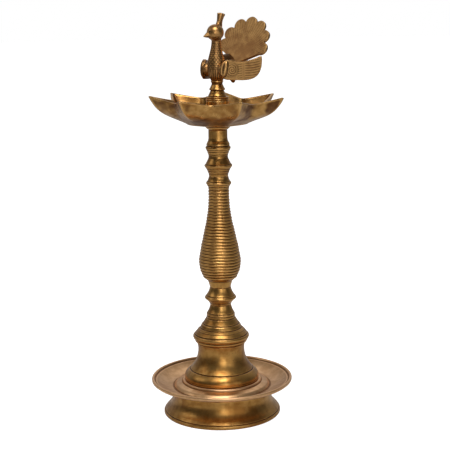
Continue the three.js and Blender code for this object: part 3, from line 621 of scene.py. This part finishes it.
def relief_of(points, faces, rounds):
    """How far each point stands proud of (+) or lies under (-) its smoothed surroundings, and its normal."""
    pairs = np.array([(f[k], f[(k + 1) % len(f)]) for f in faces if len(f) < 5 for k in range(len(f))])
    pairs = np.vstack([pairs, pairs[:, ::-1]])
    count = np.bincount(pairs[:, 0], minlength=len(points))[:, None] + 1e-9
    step = np.linalg.norm(points[pairs[:, 0]] - points[pairs[:, 1]], axis=1).mean()
    soft = points.copy()
    for _ in range(rounds):
        total = np.stack([np.bincount(pairs[:, 0], soft[pairs[:, 1], k], len(points)) for k in range(3)], 1)
        soft = 0.5 * soft + 0.5 * total / count
    corners = np.array([f[:4] if len(f) > 3 else (*f, f[0]) for f in faces])
    first, second, third, fourth = (points[corners[:, k]] for k in range(4))
    across = np.cross(third - first, fourth - second)
    normal = np.zeros_like(points)
    for k in range(4):
        for axis in range(3):
            normal[:, axis] += np.bincount(corners[:, k], across[:, axis], len(points))
    normal /= np.linalg.norm(normal, axis=1, keepdims=True) + 1e-12
    return ((points - soft) * normal).sum(1) / (step * math.sqrt(rounds / 2)), normal


def bowl_grid():
    """The whole bowl as rows of a turned grid, from the stem's socket round the rim to the finial's."""
    sides = SPOUTS * 54
    angle = FIRST_TIP + np.arange(sides) * TURN / sides
    rows = []

    def ring(radius, height):
        rows.append((np.full(sides, radius), np.full(sides, height)))

    def thread(mouth, inward, length, minor, major, pitch):
        """Rows of a hole's thread from the top down; inward is 1 where the hole runs up, -1 where down."""
        for depth in np.arange(THREAD_LEAD_IN, length, THREAD_STEP)[::-inward]:
            wave = thread_wave(inward * depth, angle, minor, major, pitch)
            rows.append((wave, np.full(sides, mouth + inward * depth)))

    ring(ON_AXIS, STEM_SOCKET)
    ring(STEM_MINOR, STEM_SOCKET)
    thread(0, 1, STEM_SOCKET, STEM_MINOR, STEM_MAJOR, STEM_PITCH)
    ring(STEM_MAJOR + CHAMFER, 0)
    for radius in UNDERSIDE:
        ring(radius, max(0, (radius - FLOOR_FLAT) * FLOOR_RISE / (FLOOR - FLOOR_FLAT)))
    for step in range(OUTER_ROWS + 1):
        rows.append(bowl_wall(angle, step / OUTER_ROWS * BELOW_RIM, 0))
    low, high = bowl_wall(angle, 1, 0), bowl_wall(angle, 1, WALL)
    for share in (0.1, 0.3, 0.5, 0.7, 0.9):
        crown = math.sin(math.pi * share) * 0.7
        rows.append((low[0] + (high[0] - low[0]) * share, low[1] + (high[1] - low[1]) * share + crown - 0.2))
    for step in range(INNER_ROWS, -1, -1):
        rows.append(bowl_wall(angle, step / INNER_ROWS * BELOW_RIM, WALL))
    for radius, height in INSIDE:
        ring(radius, height)
    thread(BOSS_TOP, -1, BOSS_HOLE, BOSS_MINOR, BOSS_MAJOR, FINIAL_PITCH)
    ring(BOSS_MINOR, BOSS_TOP - BOSS_HOLE)
    ring(ON_AXIS, BOSS_TOP - BOSS_HOLE)
    radius = np.array([r for r, _ in rows])
    height = np.array([h for _, h in rows])
    hand_made = np.clip((radius - 20) / 30, 0, 1)
    radius = radius + hand_made * wander(angle[None, :], height * 2, 9, 0.35)
    height = height + hand_made * wander(angle[None, :] + 1, radius * 0.9, 10, 0.3)
    points = np.stack([radius * np.cos(angle), radius * np.sin(angle), height + BOWL], 2).reshape(-1, 3)
    return points, grid_faces(len(rows), sides)


def bowl_relief_and_shade(points, faces):
    """The bowl's hollows and crests, drawn darker towards the spout tips and in a few patches, with painted
    shade on its floor and low walls.
    """
    x, y, z = points.T
    reach = np.hypot(x, y)
    # Drawn darker towards the spout tips and in a few patches.
    tip_and_patch_darkening = 0.18 * np.clip((reach - 57) / 12, 0, 1) * (0.75 + 0.25 * np.sin(x * 0.4 + y * 0.7))
    for degrees, distance, spread, strength in DARK_PATCHES:
        away = math.radians(degrees)
        off = np.hypot(x - distance * math.cos(away), y - distance * math.sin(away))
        ragged = off + 0.16 * spread * (np.sin(x * 0.55) + np.sin(z * 0.9 + y * 0.35))
        tip_and_patch_darkening += strength * np.clip(1.25 - ragged / spread, 0, 1)
    relief_and_shade, _ = relief_of(points, faces, 8)
    # Painted shade: the floor and the low part of the walls, within 52 mm of the axis, drawn darker.
    painted_shade_inside = (reach < 52) * (z > BOWL + 3.5) * (np.abs(relief_and_shade) < 1)
    return relief_and_shade * 1.2 - tip_and_patch_darkening - 0.1 * painted_shade_inside


bowl_points, bowl_faces = bowl_grid()
bowl = mesh_object("bowl_casting", bowl_points, bowl_faces, bowl_relief_and_shade(bowl_points, bowl_faces), sharp=80)
dress(bowl, "bowl", "oil_bowl", bowl_brass)

# ------------------------------------------------------------------ finial

ring = turned("finial_ring_casting", [
    (5.2, 0), (12.4, 0), (13.2, 0.7), (13.2, 1.3), (12.4, 2), (5.2, 2),
], [], RING, 128, fillet=0.4, seed=11)
dress(ring, "finial_seat_ring", "finial_ring", finial_brass)

finial = turned("finial_casting", [
    (4.1, 0), (9.9, 0), (10.3, 0.5), (8.9, 3.2), (7.7, 6.0), (7.9, 6.6), (8.9, 7.1), (8.9, 8.1), (8.2, 9),
    (6.6, 12.2), (6.0, 13.4), (6.2, 14.4), (7.1, 16), (7.0, 17), (3.7, 17),
], [
    (3.7, 10.7), (ON_AXIS, 10.7), (ON_AXIS, 8.3), (4.1, 8.3),
], FINIAL, 128, grooves=[(6.2, 0.9, 0.4), (3.4, 0.6, 0.2), (15.2, 0.7, 0.25)], fillet=0.35, seed=12)
dress(finial, "finial", "finial_base", finial_brass)

# ------------------------------------------------------------------ shapes for the peacock

YAW = math.radians(-130)
SKIN_STEP = 0.42


def revolve(outline, sides=48):
    """A closed turned shape from an outline that starts and ends at the axis."""
    outline = spaced(rounded(path(*outline), 0.4), 0.7)
    angle = np.arange(sides) * TURN / sides
    points = np.stack([
        np.outer(outline[:, 0], np.cos(angle)), np.outer(outline[:, 0], np.sin(angle)),
        np.repeat(outline[:, 1:], sides, 1),
    ], 2).reshape(-1, 3)
    return points, grid_faces(len(outline), sides)


def ball(radii, centre, sides=40):
    """An ellipsoid."""
    rises = np.linspace(-math.pi / 2 + 0.03, math.pi / 2 - 0.03, sides // 2)
    outline = [(math.cos(rise), math.sin(rise)) for rise in rises]
    angle = np.arange(sides) * TURN / sides
    points = np.array([(r * math.cos(a), r * math.sin(a), z) for r, z in outline for a in angle])
    return points * radii + centre, grid_faces(len(outline), sides)


def slab(outline, thickness):
    """A flat plate with that outline in its first two axes, centred on its third."""
    count = len(outline)
    low = [(x, y, -thickness / 2) for x, y in outline]
    high = [(x, y, thickness / 2) for x, y in outline]
    faces = [(k, (k + 1) % count, count + (k + 1) % count, count + k) for k in range(count)]
    return np.array(low + high), faces + [tuple(range(count - 1, -1, -1)), tuple(range(count, 2 * count))]


def turned_by(points, axis, angle):
    """The points turned about an axis of their frame."""
    return points @ np.array(Matrix.Rotation(angle, 3, axis)).T


def fused(shapes, soften):
    """One skin of even quads round overlapping closed shapes, its edges softened."""
    points, faces, start = [], [], 0
    for shape_points, shape_faces in shapes:
        points.append(shape_points)
        faces += [tuple(start + k for k in face) for face in shape_faces]
        start += len(shape_points)
    mesh = bpy.data.meshes.new("fusing")
    mesh.from_pydata((np.vstack(points) * MM).tolist(), [], faces)
    holder = linked("fusing", mesh)
    skin = holder.modifiers.new("skin", "REMESH")
    skin.mode, skin.voxel_size = "VOXEL", SKIN_STEP * MM
    smooth = holder.modifiers.new("soften", "SMOOTH")
    smooth.factor, smooth.iterations = 0.5, soften
    result = bpy.data.meshes.new_from_object(holder.evaluated_get(bpy.context.evaluated_depsgraph_get()))
    co = np.zeros(len(result.vertices) * 3)
    result.vertices.foreach_get("co", co)
    skin_faces = [tuple(p.vertices) for p in result.polygons]
    bpy.data.objects.remove(holder)
    bpy.data.meshes.remove(result)
    return co.reshape(-1, 3) / MM, skin_faces


def line(value, spacing, width):
    """1 along lines spaced that far apart, falling to 0 at their half width."""
    off = np.abs((value / spacing + 0.5) % 1 - 0.5) * spacing
    return np.clip(1 - off / (width / 2), 0, 1)


def stroke(off, half_width):
    """1 where off is 0, falling to 0 at a half width away."""
    return np.clip(1 - np.abs(off) / half_width, 0, 1)


def window(value, low, high, edge=0.8):
    """1 between low and high, falling to 0 at both over the edge's width."""
    return np.clip((value - low) / edge, 0, 1) * np.clip((high - value) / edge, 0, 1)


def carve(points, faces, depth):
    """Cuts an engraving, given as a depth for each point, into a skin."""
    _, normal = relief_of(points, faces, 1)
    return points - normal * depth[:, None]


def bird_piece(name, node, points, faces, engraving, tarnish, painted_shade=0):
    """A piece of the bird; tarnish darkens its engraving, and painted shade darkens its shaded pockets and
    the far wing.
    """
    proud, _ = relief_of(points, faces, 12)
    # Painted shade and the engraving's tarnish lower the relief, which darkens the colour.
    proud = proud - tarnish * np.clip(engraving / 0.35, 0, 1) - painted_shade
    in_lamp = turned_by(points, "Z", YAW) + (0, 0, BIRD)
    piece = mesh_object(name, in_lamp, faces, proud * 1.3, sharp=75)
    dress(piece, "finial", node, peacock_brass)


# ------------------------------------------------------------------ peacock's body
# The bird faces +X in its own frame, with its left side towards +Y.

HEAD, HEAD_TURN = np.array([2.8, 0, 52.3]), math.radians(-20)
CREST_FOOT, CREST_HEIGHT, CREST_LEAN, CREST_BACK = 7.2, 13.8, 5, 4.2
SCALE_ROW, SCALES_ROUND = 2.3, 14


def trunk():
    """Breast, neck and nape in one turned shape that leans a little forward in its middle."""
    points, faces = revolve([
        (ON_AXIS, -0.2), (6.7, -0.2), (7.2, 1.2), (8.9, 4), (9.9, 9.5), (10.0, 17, 9.4, 22.0),
        (8.9, 24.6, 8.0, 27.6), (6.9, 31.5, 5.9, 36), (5.4, 40), (5.2, 43.4), (5.7, 44.2), (5.7, 45.2),
        (5.0, 46), (4.9, 49), (ON_AXIS, 49),
    ])
    points[:, 0] += 0.8 * np.sin(math.pi * np.clip(points[:, 2], 0, HEAD[2]) / HEAD[2])
    return points, faces


def beak():
    """A stout cone that points forward and a little down, flat underneath."""
    points, faces = revolve([
        (ON_AXIS, 0), (6.2, 0), (5.4, 3.0), (3.7, 6.0), (2.0, 8.6), (0.6, 10.9), (ON_AXIS, 11.2),
    ], 32)
    points = turned_by(points * (0.8, 0.8, 1), "Y", math.radians(90 + 15)) + (3.7, 0, -1.2)
    points[:, 2] = np.maximum(points[:, 2], -5.3)
    return turned_by(points, "Z", HEAD_TURN) + HEAD, faces


def crest():
    """A fluted tuft that flares and leans back from the crown."""
    points, faces = revolve([
        (ON_AXIS, 4.2), (5.0, 4.2), (4.6, CREST_FOOT), (3.7, 10, 3.7, 13.0), (4.1, 16, 5.0, 20.0),
        (4.9, 20.6), (3.4, 21), (ON_AXIS, 21),
    ], 64)
    flute = np.arctan2(points[:, 1], points[:, 0])
    fluting = 1 + 0.07 * np.cos(12 * flute) * np.clip((points[:, 2] - 9) / 6, 0, 1)
    points = points * np.stack([fluting, 0.8 * fluting, np.ones(len(fluting))], 1)
    rise = (points[:, 2] - CREST_FOOT) / CREST_HEIGHT
    points[:, 2] -= 0.26 * (1.5 - points[:, 0]) * np.clip(rise, 0, 1) ** 3
    points[:, 0] -= CREST_LEAN * rise
    return points + HEAD * (0, 0, 1) + (-CREST_BACK, 0, 0), faces


def spur():
    """The blunt point under the rump."""
    points, faces = revolve([(ON_AXIS, 0), (5.6, 0), (4.6, 4), (2.2, 8.8), (ON_AXIS, 10)], 24)
    return turned_by(points * (1, 0.8, 1), "Y", math.radians(198)) + (-26.0, 0, 4.8), faces


def peacock_engraving(points):
    """Depth of the bird's cuts: neck scales, breast flutes, a band, eyes, a mouth and crest lines."""
    x, y, z = points.T
    around = np.arctan2(y, x - 0.8)
    reach = np.hypot(y, x - 0.8)
    neck = window(z, 13, 43.0, 1.5) * (reach < 11.5) * window(x, -7, 14)
    row = np.floor(z / SCALE_ROW)
    across = around / (TURN / SCALES_ROUND) + 0.5 * (row % 2)
    arc = (z / SCALE_ROW) % 1 - 0.55 * np.abs((across % 1) - 0.5) * 2
    scales = 0.26 * neck * stroke(arc - 0.15, 0.28)
    breast = (x > -6) * (reach < 12)
    flutes = 0.3 * window(z, 2, 12.5) * line(around, TURN / 22, TURN / 55) * breast
    band = 0.35 * stroke(z - 13, 0.6) * breast
    ahead, aside, above = turned_by(points - HEAD, "Z", -HEAD_TURN).T
    from_eye = np.sqrt((ahead - 8.0) ** 2 + (np.abs(aside) - 3.7) ** 2 + (above - 1.0) ** 2)
    eyes = 0.5 * stroke(from_eye, 1.2) ** 0.5
    mouth = 0.3 * (ahead > 8.2) * (np.hypot(ahead, aside) < 22) * (z > 40) * stroke(above + 3.9, 0.4)
    crest_axis = CREST_BACK + CREST_LEAN * (z - HEAD[2] - CREST_FOOT) / CREST_HEIGHT
    crest_lines = line(np.arctan2(y, x + crest_axis), TURN / 14, TURN / 36)
    return scales + flutes + band + eyes + mouth + 0.3 * (z > HEAD[2] + 12) * crest_lines


def peacock_painted_shade(points):
    """Painted shade: the pocket between the wings and the fan, and the belly near its seat, drawn darker."""
    x, _, z = points.T
    pocket = 0.2 * np.clip((-5 - x) / 3, 0, 1) * np.clip((z - 19) / 3, 0, 1) * (z < 35)
    return pocket + 0.06 * np.clip((9 - z) / 8, 0, 1)


skin, skin_faces = fused([
    trunk(),
    ball([24, 11.5, 9.5], [-13, 0, 13.5], 56),
    ball([13, 8, 10.5], [-16, 0, 18]),
    ball([3.4, 2.8, 2.6], [-18.6, 1.5, 26.4], 24),
    ball([9.7, 9.4, 9.2], HEAD + (-0.5, 0.5, 0), 56),
    beak(),
    crest(),
    spur(),
    revolve([(ON_AXIS, -6), (3.4, -6), (3.4, 1), (ON_AXIS, 1)], 32),
], 3)
engraving = peacock_engraving(skin)
bird_piece("peacock_casting", "peacock_body", carve(skin, skin_faces, engraving), skin_faces, engraving, 0.4,
           peacock_painted_shade(skin))

# ------------------------------------------------------------------ peacock's wings

WING_SPLAY, WING_FORWARD, WING_OUT = math.radians(28), 9, 12.6
SPIRAL_BACK, SPIRAL_UP, SPIRAL_PITCH, SPIRAL_RADIUS = 13, 12, 2.4, 6.6
LEFT, RIGHT = 1, -1


def wing_engraving(along, up, out):
    """Depth of the cuts on a wing's outer face: a spiral, dashes, a border and feather lines."""
    from_spiral = np.hypot(along - SPIRAL_BACK, up - SPIRAL_UP)
    swirl = from_spiral - SPIRAL_PITCH * np.arctan2(up - SPIRAL_UP, along - SPIRAL_BACK) / TURN
    spiral = line(swirl, SPIRAL_PITCH, 1.0) * (from_spiral < SPIRAL_RADIUS)
    dashes = window(along, 19.5, 25.5, 0.6) * window(up, 2, 20) * line(up - 0.12 * along, 2.5, 1.0)
    border = stroke(along - 27.2, 0.5) * window(up, 1, 21)
    sweep = up - 0.010 * (along - 28) ** 2 + 0.1 * (along - 28)
    feathers = window(along, 28, 47.5, 1.2) * window(up, 1.8, 24.5) * line(sweep, 2.7, 1.1)
    outer_face = np.clip(out / 0.8, 0, 1)
    return outer_face * (0.12 * spiral + 0.07 * dashes + 0.03 * border + 0.08 * feathers)


def wing(side):
    """A wing's skin and engraving: a splayed plate with a rolled front edge, and its lump of shoulder."""
    back = np.array([-math.cos(WING_SPLAY), side * math.sin(WING_SPLAY), 0])
    up = np.array([0, 0, 1.0])
    out = np.array([math.sin(WING_SPLAY), side * math.cos(WING_SPLAY), 0])
    root = np.array([WING_FORWARD, side * WING_OUT, 0])

    def placed(shape):
        points, faces = shape
        if side < 0:
            faces = [face[::-1] for face in faces]
        return points[:, :1] * back + points[:, 1:2] * up + points[:, 2:] * out + root, faces

    outline = path((8, 1), (-1, 3, 0, 12.5), (0.5, 21.5, 9, 23), (26, 17, 49, 26), (50.5, 12, 44, 5),
                   (38, -1.0, 22, 0.2), (8, 1))[:-1]
    roll, roll_faces = ball([2.8, 9.4, 2.8], [0, 0, 0], 32)
    roll = turned_by(roll, "Z", math.radians(-14)) + (5.0, 12.6, 1.4)
    swell = ball([13, 11, 2.5], [12, 12, 0.2], 40)
    lump = ball([11, 7, 8.5], [-1, side * 11.5, 12], 40)
    points, faces = fused([
        placed(slab(spaced(outline, 1.0), 4.0)), placed((roll, roll_faces)), placed(swell), lump,
    ], 4)
    cut = wing_engraving((points - root) @ back, (points - root) @ up, (points - root) @ out)
    return carve(points, faces, cut), faces, cut


# Painted shade over each whole wing, more on the right wing, the far and shaded one.
for side, name, node, painted_shade in (
    (LEFT, "left_wing_casting", "left_wing", 0.045),
    (RIGHT, "right_wing_casting", "right_wing", 0.11),
):
    bird_piece(name, node, *wing(side), 0.32, painted_shade)

# ------------------------------------------------------------------ peacock's fan

FAN_LEAN, FAN_BACK, FAN_ROOT, FAN_TURN = math.radians(28), 34.5, 17, math.radians(-4)
SCALLOPS, FAN_CENTRE, FAN_RING, SCALLOP, SPACING = 7, 22, 28, 7.6, math.radians(31)
FAN_STEM, FAN_THICKNESS = 5.5, 3.7


def scallops():
    """Direction and middle of each scallop round the fan, from one side to the other."""
    for index in range(SCALLOPS):
        angle = (SCALLOPS - 1) / 2 * SPACING - index * SPACING
        yield angle, np.array([FAN_RING * math.sin(angle), FAN_CENTRE + FAN_RING * math.cos(angle)])


def fan_outline():
    """The stem and the ring of scallops, as one closed line."""
    outline = [(-FAN_STEM, -6), (FAN_STEM, -6), (FAN_STEM, 2)]
    reach = math.sqrt(SCALLOP ** 2 - (FAN_RING * math.sin(SPACING / 2)) ** 2)
    notch = FAN_RING * math.cos(SPACING / 2) + reach
    for angle, middle in scallops():
        ends = []
        for turn in (angle + SPACING / 2, angle - SPACING / 2):
            away = np.array([notch * math.sin(turn), FAN_CENTRE + notch * math.cos(turn)]) - middle
            ends.append(math.atan2(away[1], away[0]))
        start, stop = ends[0], ends[1] + (TURN if ends[1] < ends[0] else 0)
        for k in range(15):
            bend = start + (stop - start) * k / 14
            outline.append((middle[0] + SCALLOP * math.cos(bend), middle[1] + SCALLOP * math.sin(bend)))
    outline.append((-FAN_STEM, 2))
    kept = [outline[0]]
    for point in outline[1:]:
        if math.dist(point, kept[-1]) > 0.05:
            kept.append(point)
    return kept


def fan_engraving(points):
    """Depth of the cuts on both faces of the fan: rays, punch marks and a line inside the scallops."""
    across, up, through = points.T
    inside = np.full(len(points), -9.0)
    for _, middle in scallops():
        inside = np.maximum(inside, SCALLOP - np.hypot(across - middle[0], up - middle[1]))
    ray = line(np.arctan2(across, up - 2), math.radians(4.3), math.radians(1.3))
    ray = ray * np.clip((np.hypot(across, up - 2) - 16) / 6, 0, 1)
    punched = np.sin(across * 3.3 + 0.6 * np.sin(up * 1.7)) * np.sin(up * 3.1 + 0.5 * np.sin(across * 2.3))
    rim_line = stroke(inside - 1.9, 0.5) * (inside < 4)
    face = np.clip((np.abs(through) - 1.2) / 0.4, 0, 1)
    return face * (0.06 * ray + 0.07 * np.clip(punched, 0, 1) + 0.03 * rim_line)


def leaned_back(points):
    """From the fan's flat frame to the bird's."""
    across, up = np.array([0, 1, 0]), np.array([-math.sin(FAN_LEAN), 0, math.cos(FAN_LEAN)])
    points = turned_by(points, "Z", FAN_TURN)
    points = points[:, :1] * across + points[:, 1:2] * up + points[:, 2:] * np.cross(across, up)
    return points + (-FAN_BACK, 0, FAN_ROOT)


fan, fan_faces = fused([slab(fan_outline(), FAN_THICKNESS)], 3)
fan_cut = fan_engraving(fan)
bird_piece("fan_casting", "tail_fan", leaned_back(carve(fan, fan_faces, fan_cut)), fan_faces, fan_cut, 0.4)

# ------------------------------------------------------------------ fasteners kept from the CAD

for node in ("base_tie_rod", "base_washer", "base_nut", "wing_pin", "fan_pin"):
    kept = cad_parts[node]
    kept.data.materials.clear()
    kept.data.materials.append(fastener_brass)

# ------------------------------------------------------------------ stage, light and camera

STAGE_LEVEL = -0.0004
# Sky brightness from the camera's side to the far side, and its strength from low to high.
NEAR_SKY, SIDE_SKY, FAR_SKY = (0.055, 0.055, 0.056, 1), (0.10, 0.10, 0.102, 1), (0.42, 0.42, 0.42, 1)
NEAR_AT, SIDE_AT, FAR_AT = 0.3, 0.62, 0.97
LOW_SKY, HIGH_SKY, LOW_STRENGTH, HIGH_STRENGTH = 0.15, 0.85, 0.85, 1.8
CAMERA_PLACE, CAMERA_DOWN, CAMERA_ROLL, CAMERA_LENS = (0.0064, -1.287, 0.468), 10.9, -0.87, 92.4


def shown_and_lit(tree, output, shown, lit):
    """Joins a shader that the camera sees and one that lights the lamp."""
    seen = tree.nodes.new("ShaderNodeLightPath")
    both = tree.nodes.new("ShaderNodeMixShader")
    tree.links.new(seen.outputs["Is Camera Ray"], both.inputs["Fac"])
    tree.links.new(lit.outputs[0], both.inputs[1])
    tree.links.new(shown.outputs[0], both.inputs[2])
    tree.links.new(both.outputs[0], tree.nodes[output].inputs["Surface"])


def floor_disc(radius):
    """A wide pale disc just under the foot, that glows white to the camera only."""
    sides = 96
    turns = [TURN * k / sides for k in range(sides)]
    rim = [(radius * math.cos(turn), radius * math.sin(turn), STAGE_LEVEL) for turn in turns]
    mesh = bpy.data.meshes.new("floor")
    mesh.from_pydata(rim, [], [tuple(range(sides))])
    material = bpy.data.materials.new("pale_floor")
    material.use_nodes = True
    tree = material.node_tree
    shader = tree.nodes["Principled BSDF"]
    shader.inputs["Base Color"].default_value = (0.8, 0.8, 0.8, 1)
    shader.inputs["Roughness"].default_value = 0.9
    glow = tree.nodes.new("ShaderNodeEmission")
    glow.inputs["Strength"].default_value = 1.0
    glowing = tree.nodes.new("ShaderNodeAddShader")
    tree.links.new(shader.outputs[0], glowing.inputs[0])
    tree.links.new(glow.outputs[0], glowing.inputs[1])
    shown_and_lit(tree, "Material Output", glowing, shader)
    mesh.materials.append(material)
    return linked("floor", mesh)


def softbox(name, location, target, size, watts):
    """A rectangular light that faces its target."""
    data = bpy.data.lights.new(name, "AREA")
    data.shape, data.energy = "RECTANGLE", watts
    data.size, data.size_y = size
    lamp = linked(name, data)
    lamp.location = location
    away = np.array(location) - np.array(target)
    tilt = math.atan2(math.hypot(away[0], away[1]), away[2])
    lamp.rotation_euler = (tilt, 0, math.atan2(away[0], -away[1]))


def studio():
    """A dim sky, brighter behind and overhead, with a white backdrop for the camera only."""
    world = bpy.data.worlds.new("studio")
    bpy.context.scene.world = world
    world.use_nodes = True
    tree = world.node_tree
    nodes, links = tree.nodes, tree.links
    sky = nodes["Background"]
    axes = nodes.new("ShaderNodeSeparateXYZ")
    links.new(nodes.new("ShaderNodeTexCoord").outputs["Generated"], axes.inputs[0])
    depth = nodes.new("ShaderNodeMapRange")
    depth.inputs["From Min"].default_value = -1
    links.new(axes.outputs[1], depth.inputs["Value"])
    shade = nodes.new("ShaderNodeValToRGB")
    near, far = shade.color_ramp.elements
    near.position, near.color = NEAR_AT, NEAR_SKY
    far.position, far.color = FAR_AT, FAR_SKY
    shade.color_ramp.elements.new(SIDE_AT).color = SIDE_SKY
    links.new(depth.outputs["Result"], shade.inputs["Fac"])
    links.new(shade.outputs["Color"], sky.inputs["Color"])
    lift = nodes.new("ShaderNodeMapRange")
    lift.inputs["From Min"].default_value, lift.inputs["From Max"].default_value = LOW_SKY, HIGH_SKY
    lift.inputs["To Min"].default_value, lift.inputs["To Max"].default_value = LOW_STRENGTH, HIGH_STRENGTH
    links.new(axes.outputs[2], lift.inputs["Value"])
    links.new(lift.outputs["Result"], sky.inputs["Strength"])
    backdrop = nodes.new("ShaderNodeBackground")
    backdrop.inputs["Color"].default_value = (1, 1, 1, 1)
    shown_and_lit(tree, "World Output", backdrop, sky)


floor_disc(14)
softbox("key", (0.32, -2.3, 0.72), (0, 0, 0.3), (0.95, 1.3), 10)
softbox("top", (0.0, -0.65, 1.6), (0, 0, 0.1), (0.8, 0.7), 11)
softbox("right_fill", (1.5, -1.7, 0.7), (0, 0, 0.25), (1.1, 1.2), 3.6)
softbox("left_high", (-1.9, -0.1, 1.6), (0, 0, 0.42), (1.1, 1.1), 3.6)
softbox("back_high", (0.1, 1.6, 1.9), (0, 0, 0.1), (1.8, 1.0), 3.2)
studio()

camera_data = bpy.data.cameras.new("camera")
camera_data.lens, camera_data.sensor_width = CAMERA_LENS, 36
camera = linked("camera", camera_data)
tilt = Matrix.Rotation(math.radians(90 - CAMERA_DOWN), 4, "X")
roll = Matrix.Rotation(math.radians(CAMERA_ROLL), 4, "Z")
camera.matrix_world = Matrix.Translation(CAMERA_PLACE) @ tilt @ roll
bpy.context.scene.camera = camera
bpy.context.scene.view_settings.view_transform = "Standard"
